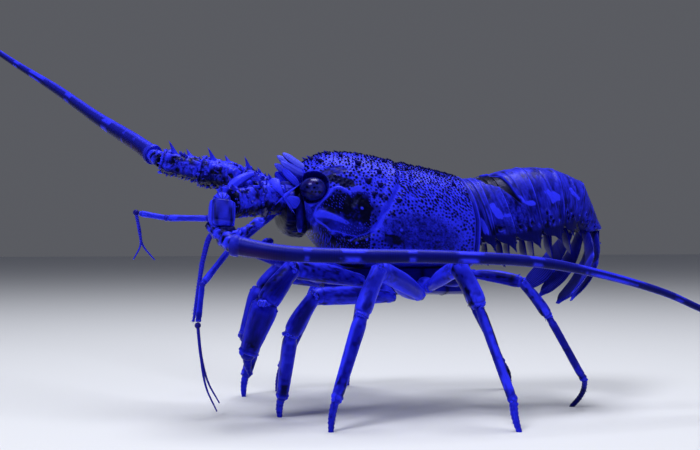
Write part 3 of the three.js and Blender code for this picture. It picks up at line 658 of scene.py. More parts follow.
    # Places of the spots
    points = grid + out * height[..., None]
    flat = points.reshape(-1, 3)
    bare = (pale_groove < 2.2) | (margin < 1.6) | (lobe < 6.2) | (dome > 0.05) | (grey_brow > 0.15)
    bare |= (bright > 0.1) | (hollow > 0.02) | (x > 77.6) | (down > 97) | (patch > 0.1) | (lobe_low < 1)
    bare |= (x < -35) | (dots > 0.2) | (low_line < 1) | (strip < 0.9)
    for a, b, size in LARGE_THORNS:
        bare |= np.hypot(x - a, down - b) < size * 1.05
    gap = np.where(x < 24, GAPS[0], GAPS[1]) * (1 + 0.14 * coarse)
    gap = np.where(fine_patch > 0, GAPS[2], gap)
    gap = np.where(front_low, GAPS[3], gap).ravel()
    chosen = scatter(flat, gap, ~bare.ravel())
    small = gap[chosen] < SMALL_GAP
    spot = np.where(small, SPOT_RADII[0], SPOT_RADII[1]) * rng.uniform(0.65, 1.3, len(chosen))
    spot = np.where((~small) & (rng.random(len(chosen)) < WIDE_SPOT_SHARE), SPOT_RADII[2], spot)
    big_feet = []
    for a, b, _ in LARGE_THORNS:
        distance = np.hypot(x - a, down - b)
        for half_side in (slice(0, per_side), slice(per_side, None)):
            block = np.full(x.shape, 1e9)
            block[:, half_side] = distance[:, half_side]
            big_feet.append(int(np.argmin(block)))
    big_sizes = np.repeat([size for _, _, size in LARGE_THORNS], 2)
    seats = np.concatenate([chosen, big_feet])
    sizes = np.concatenate([spot, big_sizes])

    # Spots: the thorns' dark feet; on the side behind the eye they are stretched along a rearward, downward
    # slant as the thorns' painted shadows
    near, kind = nearest_spots(flat, down.ravel() <= SPOTS_DOWN_TO, seats, sizes)
    rearward = x.ravel() - x.ravel()[seats][kind]
    downward = down.ravel() - down.ravel()[seats][kind]
    # The slant stretches each spot into a painted shadow of its thorn
    slanted = np.hypot((rearward * 0.6 + downward * 0.8) / 1.45, (rearward * 0.8 - downward * 0.6) / 0.8)
    slant = smooth(8, 24, x) * smooth(60, 46, down) * (near.reshape(x.shape) < 3)
    near = mix(near, slanted / sizes[kind], slant.ravel()).reshape(x.shape) * (1 + 0.3 * grit)
    width = sizes[kind].reshape(x.shape)
    small_spot = width < SPOT_SMALL
    rise = np.where(small_spot, 0.2, 0.34) * bell(near, 1.1) * np.minimum(width * 1.3, 1.6)
    points += out * rise[..., None]
    spotted = smooth(1.3, 0.8, near)
    grain = front_low & small_spot
    dark = np.maximum(dark, np.where(grain, 0, spotted * np.where(small_spot, 0.7, 1.0)))
    dark = np.where(grain, dark * (1 - 0.95 * spotted), dark)
    pale = np.where(grain, np.maximum(pale, spotted), pale)

    # The eye's hollow is pressed in, left without spots and painted darker, as shade
    toward = points * [1, 0.28, 0.6] + [0, 0, 60.5]
    for _ in range(14):
        points += (toward - points) * smooth(1.0, 0.9, in_orbit(points))[..., None] * 0.12
    dark = mix(dark, 0.12 + 0.5 * middling + 0.3 * grit, hollow)
    pale *= 1 - hollow
    shell = Mesh()
    shell.rings(points, painted(pale, dark, 0.12 * np.maximum(bright, 0)))

    # Thorns on the spots of the back, and the large ones
    ways = out.reshape(-1, 3)
    depth = down.ravel()[chosen]
    standing = (depth < THORNS_DOWN_TO) & ~small
    long = 1.15 * np.clip(spot / SPOT_RADII[1], 0.7, 1.6) * (0.6 + 0.4 * smooth(THORNS_DOWN_TO, 20, depth))
    forward = ways[chosen] + np.array([-1.0, 0, 0.15]) * 1.1
    spikes(shell, flat[chosen][standing], forward[standing], long[standing], spot[standing] * 0.7, sides=3,
           base=(0, 1, 0), tip=(0.15, 0.6, 0.1))
    for foot, size in zip(big_feet, big_sizes):
        way = ways[foot] + np.array([-1.0, 0, 0.25]) * 1.2
        spikes(shell, flat[foot], way, size * 1.6, size * 0.72, sides=8, lean=(-0.15, 0, 0.1),
               base=(0, 0.95, 0.1), tip=(0.5, 0.3, 0.1))
    shell.piece("carapace_shell", SHELL, "shell", "carapace")


carapace()


# Abdomen: each plane between two segments, as (top x, top z, bottom x, bottom z, half-width)

ABDOMEN_PLANES = np.array([
    (78.6, 159.5, 86.5, 119, 31), (88.5, 161, 96.5, 118.5, 32), (99.5, 163.5, 111.5, 119.5, 32.5),
    (123.5, 169, 131, 123, 32), (148, 168.5, 148, 127, 29.5), (170, 159.5, 159, 129, 26),
    (185, 125, 167, 122.5, 21),
])
# One side of a segment's section from the ridge to the belly, as shares of its half-width and height
HALF_SECTION = np.array([
    (0, 1), (0.28, 0.975), (0.54, 0.89), (0.76, 0.72), (0.91, 0.5), (0.985, 0.27), (1, 0.06),
    (0.99, 0.02), (0.95, 0.02), (0.86, 0.05), (0.45, 0), (0, 0),
])
SECTION_SIZE = [32, 42]
SIDE_POINT = 6
TOOTH_ROWS = (7, 8)
BELLY_FROM = 8.5
TOOTH_DEPTH = [[0, 0.02], [0.2, 0.08], [0.5, 0.12], [0.74, 0.19], [0.84, 0.15], [0.93, 0.02], [1, 0.0]]
TOOTH_PLACE = 0.76
TEETH = ((TOOTH_PLACE, 2.6), (0.88, 1.2))
SEGMENT_ARC = 60.0
LAST = 6
FIRST_LAP = 0.3
LAPPED = 0.07
RIM_STRENGTH = {1: 0.7, 2: 1.0, 3: 0.9, 4: 0.45, 5: 0.4, 6: 0.2}
# Places on a plate are (share of its length, share of the way down its side); a patch also has a half-width
PATCHES = {
    1: [([(0.04, 0.83), (0.2, 0.87), (0.36, 0.98)], 1.6)],
    2: [([(0.17, 0.66), (0.33, 0.75), (0.4, 0.8), (0.8, 0.8)], 1.6), ([(0.3, 0.72), (0.42, 0.79)], 2.4)],
    3: [([(0.45, 0.61), (0.53, 0.67), (0.6, 0.7), (0.82, 0.72)], 1.2)],
    4: [([(0.42, 0.61), (0.74, 0.68)], 2.7), ([(0.46, 0.66), (0.58, 0.71)], 2.0)],
    5: [([(0.38, 0.55), (0.5, 0.6)], 2.3), ([(0.5, 0.6), (0.7, 0.65)], 1.6)],
}
HOLLOWS = {
    2: [(0.3, 0.94)], 3: [(0.2, 0.95), (0.62, 0.93)], 4: [(0.26, 0.85), (0.38, 0.91), (0.46, 0.96)],
    5: [(0.12, 0.88), (0.2, 0.96), (0.49, 0.93)], 6: [(0.29, 0.78), (0.47, 0.85), (0.85, 0.7)],
}
KNOBS = {
    2: [(0.42, 0.98)], 3: [(0.35, 0.98), (0.98, 0.94), (0.85, 0.97)],
    4: [(0.11, 0.95), (0.29, 0.98), (0.7, 0.97)], 5: [(0.34, 0.9), (0.6, 0.97), (0.86, 0.92)],
    6: [(0.56, 0.74), (0.24, 0.97), (0.81, 0.61), (0.66, 0.9)],
}
# The third plate's raised front edge, its pale rim, a painted highlight, and the lower edge of the dark gap
# below it, a painted shadow
HOOD_FRONT = [[0.5, 0], [0.7, 0.02], [1, 0.09]]
HOOD_EDGE = [[0, 0.0], [0.08, 0.0], [0.11, 0.09], [0.25, 0.21], [0.39, 0.29], [0.52, 0.35], [0.61, 0.41],
             [0.68, 0.46], [1, 0.5]]
HOOD_RIM = {2: HOOD_FRONT, 3: [(0, 0.09), (0.21, 0.25), (0.29, 0.39), (0.35, 0.52), (0.41, 0.61)]}
GAP_SHADOW_LOW = {2: [[0, 0.05], [0.12, 0.2], [0.3, 0.34], [0.69, 0.39], [1, 0.43]],
           3: [[0, 0.43], [0.14, 0.53], [0.26, 0.6], [0.35, 0.66], [0.46, 0.7]]}
GAP_DEPTH = 1.3
# Slanted lines of the first plate, as (share of its length, strength)
FIRST_LINES = ((0.42, 0.8), (0.12, 0.6), (0.22, 0.5))


def both_sides(half, turn):
    """Rings round the body from rings of its left half."""
    return np.concatenate([half, half[:, -2:0:-1] * turn], axis=1)


def segment(number):
    front, rear = ABDOMEN_PLANES[number - 1], ABDOMEN_PLANES[number]
    size = math.hypot(rear[0] - front[0], rear[1] - front[1])
    lap = FIRST_LAP if number == 1 else LAPPED
    stations = np.linspace(-lap, 1, 84 if number == LAST else 64)
    low_side = np.linspace(SIDE_POINT, 9, 18)[1:]
    index = np.concatenate([np.linspace(0, SIDE_POINT, 104), low_side, [9.5, 10, 10.5, 11]])
    rows = np.arange(len(HALF_SECTION))
    shape = along(np.column_stack([rows, HALF_SECTION]), index)
    tooth = along(np.column_stack([rows, np.isin(rows, TOOTH_ROWS).astype(float)]), index)
    t = stations[:, None]
    swell = 1 + 0.018 * np.sin(np.pi * np.clip(t, 0, 1)) - 0.05 * smooth(0.04 - lap, -lap, t)
    across = shape[:, 0] * swell
    high = shape[:, 1] * swell - along(TOOTH_DEPTH, stations)[:, None] * tooth
    top_x, top_z, low_x, low_z, wide = ((front + (rear - front) * t)[:, [n]] for n in range(5))
    half = np.stack([low_x + (top_x - low_x) * high, -across * wide, low_z + (top_z - low_z) * high], -1)
    walk = lengths(shape[index <= SIDE_POINT] * SECTION_SIZE)
    q = np.interp(np.arange(len(index)), np.arange(len(walk)), walk / walk[-1])
    tt, q, past, belly = np.broadcast_arrays(t, q, index > SIDE_POINT, index > BELLY_FROM)
    out = unit(np.cross(np.gradient(half, axis=0), np.gradient(half, axis=1)))
    middle = np.array([(top_x + low_x).mean() / 2, 0, (top_z + low_z).mean() / 2])
    out = out * np.sign(np.sum(out * (half - middle), axis=-1, keepdims=True))

    reach, drop = tt * size, q * SEGMENT_ARC
    flow = np.stack([reach, drop, 0 * q], -1)
    cloud = lumps(flow * [1, 0.5, 1], 3.4, number)
    streak = lumps(flow * [1, 0.3, 1], 1.1, number + 2)
    granule = lumps(flow, 0.9, number + 4)

    def gap_to(line):
        return near_line([(a * size, b * SEGMENT_ARC) for a, b in line], reach, drop)

    def nearest(places):
        gaps = [np.hypot((tt - a) * size, (q - b) * SEGMENT_ARC) for a, b in places.get(number, ())]
        return np.min(gaps + [0 * q + 99], axis=0)

    side_fade = smooth(0.1, 0.2, q) * smooth(0.92, 0.8, q)
    furrow_gap = (tt - 0.5 + 0.12 * np.cos(np.pi * q)) * size
    furrow = bell(furrow_gap, 0.6) * side_fade
    rim = bell((tt - 0.962) * size, 0.6) * smooth(1.0, 0.85, q) * RIM_STRENGTH[number]
    height = 0.5 * smooth(0.8, 0.93, tt) - 0.8 * smooth(0.975, 1.0, tt) - 0.4 * furrow
    height += 0.14 * cloud + 0.08 * granule + 0.08 * streak
    # Paler towards the ridge: painted light from above
    pale = 0.2 + 0.3 * smooth(0.75, 0.1, q) + 0.85 * rim + 0.22 * cloud + 0.2 * streak + 0.08 * granule
    pale += 0.2 * bell(furrow_gap - 1.2, 0.6) * side_fade
    # Darker low on the side and in the furrow, both painted shade, and along the rear edge
    dark = 0.5 * smooth(0.84, 0.95, q + 0.02 * cloud) + 0.7 * bell(tt - 1.0, 0.015) + 0.35 * furrow
    dark += 0.5 * smooth(0.15, 0.7, -cloud - 0.5 * streak)
    if number in GAP_SHADOW_LOW:
        low = np.interp(tt, *np.array(GAP_SHADOW_LOW[number]).T) + 0.008 * streak
        if number == 3:
            edge = along(HOOD_EDGE, q)
            ahead = smooth(edge + 0.02, edge - 0.03, tt)
            rough_skin = smooth(edge + 0.1, edge, tt)
            lip_fade = 1.0
        else:
            edge = np.interp(tt, *np.array(HOOD_FRONT).T)
            ahead = smooth(edge - 0.01, edge + 0.02, q) * smooth(0.0, 0.1, tt)
            rough_skin = smooth(0.55, 0.8, tt)
            lip_fade = smooth(0.5, 0.75, tt)
        # The gap under the hood's front edge is a painted shadow
        gap = ahead * smooth(low + 0.02, low - 0.03, q)
        lip = gap_to(HOOD_RIM[number])
        height += -GAP_DEPTH * gap + 0.75 * bell(lip, 0.7) * lip_fade
        pale += 0.14 * granule * rough_skin
        dark = np.maximum(dark + 0.2 * smooth(0.0, 0.6, -granule) * rough_skin, gap)
        # A painted highlight along the hood's rim
        lit = 0.9 * bell(lip, 0.55) * lip_fade
        pale = np.maximum(pale * (1 - gap), lit)
        dark = dark * (1 - lit)
    if number == 1:
        for offset, strength in FIRST_LINES:
            pale = np.maximum(pale, strength * bell((tt - offset - 0.4 * q) * size, 0.4))
            dark = np.maximum(dark, strength * bell((tt - offset + 0.1 - 0.4 * q) * size, 0.5))
    for line, wide_line in PATCHES.get(number, ()):
        mask = smooth(wide_line + 0.5, wide_line - 0.5, gap_to(line) + 1.1 * cloud + 0.9 * streak)
        pale = np.maximum(pale, mask * 1.3)
        dark = dark * (1 - mask)
        height += 0.1 * mask
    # Hollows are painted dark as shade, with painted highlights round their rims and on the knobs
    hollow = nearest(HOLLOWS) + 0.6 * granule
    knob = nearest(KNOBS) + 0.7 * granule
    height += 1.1 * bell(knob, 1.5) - 0.9 * bell(hollow, 1.3) + 0.7 * bell(hollow - 2.2, 0.7)
    dark = np.maximum(dark, smooth(1.6, 0.8, hollow))
    lit = np.maximum(0.8 * bell(hollow - 2.1, 0.55) * smooth(-0.2, 0.4, streak), 0.9 * bell(knob, 1.1))
    pale = np.maximum(pale, lit)
    dark = dark * (1 - 0.8 * lit)
    height = np.where(past, 0.1 * granule, height)
    dark = np.where(past, 0.75 + 0.15 * belly, dark)
    pale = np.where(past, 0.15, pale)
    dark = np.maximum(dark, smooth(0.03, -0.01, tt + lap - LAPPED))
    pale = np.maximum(pale, 0.6 * bell(tt - TOOTH_PLACE, 0.05) * tooth)

    half = half + out * height[..., None]
    lay = np.stack([reach + SEGMENT_ARC * number, drop, half[..., 2]], -1)
    plate = Mesh()
    plate.rings(both_sides(half, [1, -1, 1]), both_sides(painted(pale, dark), 1), both_sides(lay, [1, -1, 1]))
    tip_row = int(np.argmin(np.abs(index - np.mean(TOOTH_ROWS))))
    for share, long in TEETH:
        tip = half[int(np.argmin(np.abs(stations - share))), tip_row]
        for side in (LEFT, RIGHT):
            spikes(plate, tip * [1, -side, 1], (0.45, side * 0.1, -1), long, 0.9, sides=6,
                   base=(0.15, 0.6, 0), tip=(0.4, 0.3, 0), sunk=0.5)
    plate.piece(f"abdomen_plate_{number}", FLANK, "flank", f"abdomen_{number}")


for number in range(1, LAST + 1):
    segment(number)


# Tail fan: ribbed plates given as rows of (x, z, y of the middle, half-width)

TELSON = [(181.5, 123.9, 0, 11), (180, 107, 0, 13), (171, 89, 0, 14), (154, 71, 0, 11)]
UROPOD_INNER = [(177, 122.8, 11.5, 5.5), (174.5, 107, 19.5, 9), (166.5, 91, 26, 11.5), (152, 75, 30, 8)]
UROPOD_OUTER = [(169.5, 122.2, 14.5, 4.5), (166, 108, 29, 9), (158, 93, 40, 12), (145, 80, 47, 8)]
FAN_THICK = [[0, 2.1], [0.3, 1.6], [0.7, 1.0], [1, 0.45]]
FAN_STEPS = 72
FAN_RIBS = 34


def fan_plate(name, rows, side, node, hard):
    """hard is the share of the plate's length that is hard, ahead of its soft ribbed part."""
    x, z, y, wide = np.array(rows, float).T
    middle = curve(np.column_stack([x, y * side, z]), FAN_STEPS)
    t = np.linspace(0, 1, FAN_STEPS)
    half = evenly(wide, t) * (1 - smooth(0.8, 1.0, t) ** 2 * 0.72)

    def swell(place, angle, out):
        share = place / place.max()
        rib = 0.16 * np.cos(np.cos(angle) * FAN_RIBS) * smooth(hard - 0.05, hard + 0.1, share)
        lump = 0.2 * lumps(out * 3 + place[..., None] * 0.3, 1.0, 2) * smooth(hard, hard - 0.2, share)
        return rib + 0.35 * bell(share - hard, 0.03) + lump

    def paint(place, angle, out):
        share = place / place.max()
        rib = smooth(-0.2, 0.9, np.cos(np.cos(angle) * FAN_RIBS))
        pale = 0.15 + 0.35 * rib * smooth(hard, hard + 0.15, share) + 0.5 * bell(share - hard, 0.04)
        # Darker between the ribs: painted shade
        dark = 0.5 * bell(share - hard + 0.1, 0.06) + 0.35 * (1 - rib) * smooth(hard, hard + 0.1, share)
        return painted(pale + 0.5 * smooth(0.93, 1.0, share), dark)

    plate = Mesh()
    tube(plate, middle, half, along(FAN_THICK, t), (1, 0, 0), 96, paint, swell, facing=((0.15, 0, -1), None))
    if name == "telson_plate":
        for n in range(8, 28, 2):
            for edge in (LEFT, RIGHT):
                foot = middle[n] + np.array([1.4, edge * half[n] * rng.uniform(0.2, 0.9), 0])
                spikes(plate, foot, (0.6, 0, -1), 1.4, 0.5, base=(0.5, 0, 0), tip=(0.9, 0, 0))
    plate.piece(name, FAN, "flank", node)


fan_plate("telson_plate", TELSON, RIGHT, "telson", 0.4)
for word, side in SIDES:
    fan_plate(f"uropod_plate_inner_{word}", UROPOD_INNER, side, f"uropod_inner_{word}", 0.5)
    fan_plate(f"uropod_plate_outer_{word}", UROPOD_OUTER, side, f"uropod_outer_{word}", 0.5)


# Swimmerets: a bar under the belly with a ribbed, fringed leaf at each end

BAR_DROP = 3.4
SPREAD = 15
SWIMMERET_AT = 0.55
SWIMMERET_RIBS = 22
FRINGE_FROM = 10
# Rows of (rearward, outward, downward, half-width, half-thickness)
SWIMMERET_LEAF = [(0, 0, -1, 3, 1.2), (0.6, 1, 3.5, 5.4, 1.1), (1, 2, 8.5, 6, 0.9), (2.6, 2.6, 14, 4.6, 0.6),
                  (4, 3, 17, 1.2, 0.4)]


def swimmerets(number):
    plane = mix(ABDOMEN_PLANES[number], ABDOMEN_PLANES[number - 1], SWIMMERET_AT)
    x, z = plane[2], plane[3] - BAR_DROP
    back, outward, drop, wide, thick = np.array(SWIMMERET_LEAF).T
    t = np.linspace(0, 1, 34)
    half = evenly(wide, t)
    pair = Mesh()
    bar = [(x, y, z) for y in np.linspace(-SPREAD, SPREAD, 24)]
    knobs = 0.3 * np.cos(np.linspace(0, 4 * np.pi, 24))
    tube(pair, bar, 1.5, 1.5 + knobs, sides=14, paint=(0.2, 0.3, 0))

    def swell(place, angle, out):
        return 0.1 * np.cos(np.cos(angle) * SWIMMERET_RIBS)

    def paint(place, angle, out):
        edge = smooth(0.5, 0.95, np.abs(np.cos(angle)))
        # Darker in the furrows between the ribs: painted shade
        return painted(0.15 + 0.5 * edge, 0.3 - 2 * swell(place, angle, out))

    for side in (LEFT, RIGHT):
        middle = curve(np.column_stack([x + back, side * (SPREAD + outward), z - drop]), 34)
        tube(pair, middle, half, evenly(thick, t), (1, 0, 0), 40, paint, swell)
        edges = [(n, edge) for n in range(FRINGE_FROM, 34) for edge in (LEFT, RIGHT)]
        feet = [middle[n] + np.array([0, edge * half[n] * 0.96, 0]) for n, edge in edges]
        ways = [(0.2, edge * 0.9, -0.8) for _, edge in edges]
        spikes(pair, feet, ways, 1.6, 0.13, sides=3, base=(0.5, 0, 0), tip=(0.8, 0, 0))
    pair.piece(f"swimmeret_pair_{number}", BELOW, "underside", f"swimmerets_{number}")


for number in (2, 3, 4, 5):
    swimmerets(number)


# Limbs made of articles. A look is (ground, front stripe, rear stripe, dark core, mottling), where a
# stripe below 0 is dark

BUMP_TURNS = 5
CUFF_AT = 0.965
CREASE_AT = 0.93
FOOT_CREASE_AT = 0.09
FRONT_EDGE = np.array([-0.35, 0, 1])
SKIN = (0.1, 0.85, 0)
# Knuckles as (towards the flank, towards the bend, size), in half-widths of the limb
KNUCKLES = [(0.75, 0.45, 0.34), (0.88, -0.3, 0.27), (0.2, 0.9, 0.33), (0.1, -0.85, 0.28), (0.55, 0.8, 0.22),
            (0.6, -0.72, 0.24), (0.95, 0.1, 0.2)]
KNUCKLE_OUT = 1.14


def knob(mesh, centre, radius, half, seed, around, high, paint):
    """Slightly uneven ball on a limb of the given half-width."""
    ball(mesh, centre, radius, around, high, paint, lambda out: half * 0.06 * lumps(out * 3, 1.0, seed))


def article(mesh, start, end, shape, look, slim=1.0, flat=1.0, hint=(0, 0, 1), sides=40, bow=0.0,
            flank=(0, -1, 0), knobs=True, facing=(None, None), rows=72, grain=0.12, seed=0):
    """One article of a limb, with shape as rows of (share of its length, half-width). slim and flat are
    its shares of that across and along hint. Returns its middle line and its half-widths along hint."""
    start, end = np.asarray(start, float), np.asarray(end, float)
    way = unit(end - start)
    edge = np.cross(way, unit(np.asarray(flank, float) - way * np.dot(way, flank)))
    edge = edge * (1 if edge @ FRONT_EDGE > 0 else -1)
    t = np.linspace(0, 1, rows)
    reach = np.linalg.norm(end - start)
    points = mix(start, end, t[:, None]) + edge * (bow * np.sin(np.pi * t))[:, None]
    size = along(shape, t)
    full = size.max()
    ground, front, rear, core, mottle = look

    def noise(place, out):
        spot = skin_place(place, out, turn=full * 1.5)
        return (lumps(spot * [0.35, 1, 1], 3.0, seed + 1), lumps(spot * [0.6, 1, 1], 1.4, seed + 2),
                lumps(spot * [0.6, 0.8, 0.8], 3.4, seed + 5))

    def swell(place, angle, out):
        cloud, speck, blotch = noise(place, out)
        cuff = bell(place - reach * CUFF_AT, reach * 0.016) * (0.04 + 0.05 * np.cos(angle * BUMP_TURNS))
        crease = 0.25 * bell(place - reach * CREASE_AT - blotch, 0.8)
        crease = crease + 0.15 * bell(place - reach * FOOT_CREASE_AT - blotch, 0.8)
        return grain * (cloud + 0.6 * speck) - crease + full * cuff

    def paint(place, angle, out):
        share = place / reach
        cloud, speck, blotch = noise(place, out)
        up = out @ edge + 0.12 * cloud
        inner = smooth(0.1, 0.24, share) * smooth(0.93, 0.8, share) * smooth(0.78, 0.42, np.abs(up))
        pale = ground + max(front, 0) * smooth(0.35, 0.75, up) + max(rear, 0) * smooth(0.45, 0.85, -up)
        pale += mottle * (0.45 * cloud + 0.4 * speck) - core * inner
        dark = max(core, 0) * inner * (0.75 + 0.5 * cloud)
        dark += 0.85 * mottle * smooth(0.12, 0.6, -cloud - 0.5 * speck)
        dark += max(-front, 0) * smooth(0.3, 0.7, up) + max(-rear, 0) * smooth(0.4, 0.8, -up)
        knee = smooth(0.66, 0.8, share)
        patch = knee * smooth(0.05, 0.35, blotch)
        pale += 0.6 * patch * (0.4 + ground)
        dark = dark * (1 - patch) + 0.35 * knee * smooth(0.2, 0.6, -blotch - 0.6 * speck)
        cuff = bell(place - reach * CUFF_AT, reach * 0.018)
        pale = np.maximum(pale, (0.5 + ground) * cuff * (0.7 + 0.5 * np.cos(angle * BUMP_TURNS)))
        crease = 0.45 * bell(place - reach * CREASE_AT - blotch, 0.6)
        dark = np.maximum(np.maximum(dark * (1 - 0.6 * cuff), crease), 0.85 * smooth(0.05, 0.0, share))
        return painted(pale, dark, 0.15 * smooth(0.3, 0.8, speck) * core)

    tube(mesh, points, size * slim, size * flat, hint, sides, paint, swell, facing)
    if knobs:
        across = unit(np.cross(way, hint))
        foot = float(size[rows // 12])
        for turn in (-1, 1):
            centre = start + way * foot * 0.45 + across * turn * foot * slim * 0.78
            knob(mesh, centre, foot * 0.3, foot, seed, 20, 13, (min(0.35 + ground, 0.8), 0.1, 0))
    return points, size * flat


def joint(mesh, place, half, flank, edge, ground, seed):
    """Dark skin with bright knuckles between two articles."""
    flank, edge = unit(flank), unit(edge)

    def paint(out):
        return painted(0.9 + ground, 0.9 * smooth(0.1, 0.5, lumps(out * 2.6, 1.0, seed + 1)))

    ball(mesh, place, half * 0.8, 20, 13, SKIN)
    for along_flank, along_edge, size in KNUCKLES:
        centre = place + (flank * along_flank + edge * along_edge) * half * KNUCKLE_OUT
        knob(mesh, centre, half * size, half, seed, 18, 12, paint)


def sized(shape, half):
    return np.array(shape) * [1, half]


# Walking legs

COXA_PLACE = [(-4, 88), (12, 87), (29, 86.5), (46, 87), (63, 88.5)]
COXA_HALF = (6.6, 6, 6, 5.6, 5)
# Half-widths of merus, carpus, propodus at its foot and end, and dactyl
LEG_HALF = [
    (6.4, 7.4, 8.8, 6.2, 3.2), (6.0, 5.8, 4.9, 4.1, 2.6), (6.5, 5.5, 4.7, 3.7, 2.5),
    (5.6, 5.9, 3.3, 3.0, 2.6), (4.3, 3.7, 2.6, 2.6, 1.8),
]
KNEE_BLUNT = (0.78, 0.78, 0.92, 1.0, 0.85)
# Looks of coxa and merus, carpus and propodus, then how pale and how dark the claw is
LEG_LOOKS = [
    ((0.3, 0.6, 0.2, 0.2, 0.9), (0.0, 0.45, 0.15, 0.5, 0.8), (0.0, 0.35, 0.5, 0.75, 0.2), (0.15, 0.3)),
    ((0.3, 0.5, 0.35, 0.1, 0.7), (0.05, 0.85, 0.6, 0.8, 0.4), (0.18, 0.35, 0.25, 0.1, 0.6), (0.45, 0.0)),
    ((0.8, 0.3, 0.2, 0.3, 0.2), (0.55, 0.5, 0.4, 0.1, 0.45), (0.3, 0.9, 0.25, 0.25, 0.6), (0.35, 0.2)),
    ((0.5, 0.4, 0.2, 0.1, 0.4), (0.6, 0.5, -0.7, 0.1, 0.5), (0.42, -0.4, -0.8, -0.4, 0.35), (0.4, 0.0)),
    ((0.0, 0.75, 0.0, 0.7, 0.8), (0.5, 0.3, -0.6, 0.0, 0.7), (0.02, 0.35, -0.3, 0.35, 0.5), (0.0, 0.8)),
]
LEG_ROUTES = {
    "left": [
        [(1, -28, 89.5), (-50, -57, 99), (-68, -62, 76), (-78, -53, 45), (-76, -49, 30)],
        [(20, -37, 79), (-37, -66, 81.5), (-50.5, -54, 56), (-53.5, -36, 14), (-54, -30, 0)],
        [(38, -45, 81), (3, -76, 98.5), (-10.5, -84, 70), (-28.5, -93, 19), (-32, -94.5, 0)],
        [(48, -37, 86), (54, -80, 100), (64, -92, 75), (79.5, -112, 17), (81, -118, 0)],
        [(77, -44, 94), (105, -58, 89), (125, -56, 65.5), (156.5, -42, 20.5), (153.5, -27, 0)],
    ],
    "right": [
        [(3, 28, 89.5), (-36, 58, 99), (-54, 62, 78), (-66, 56, 46), (-66, 51, 31)],
        [(19, 36, 82.5), (-34, 70, 90), (-50, 74, 62), (-64, 73, 16), (-66, 71, 0)],
        [(36, 46, 82), (2, 78, 99), (-12, 86, 70), (-33.5, 94.5, 19), (-37, 96, 0)],
        [(45, 38, 87), (33, 82, 101), (29, 95, 74), (24, 114, 17), (23, 119, 0)],
        [(75, 43, 93), (98, 64, 93), (112, 69, 66), (138, 72, 20), (141, 70, 0)],
    ],
}
COXA_SHAPE = [[0, 0.5], [0.1, 0.7], [0.4, 1], [0.8, 0.9], [1, 0.7]]
MERUS_SHAPE = [[0, 0.5], [0.08, 0.66], [0.4, 0.95], [0.7, 1], [0.93, 0.96], [1, 0.74]]
MERUS_THORNS = ((0.9, 3.0), (0.78, 1.8))
LEG_HINT = (0.3, 1, 0.2)
LEG_FLAT = 0.8
FOOT_RADIUS = 1.7
RAISED_TIP = 0.7
HAIR_CLEARANCE = 5.0


def sternum_half(x):
    return 8.5 + (x + 20) / 98 * 16.5


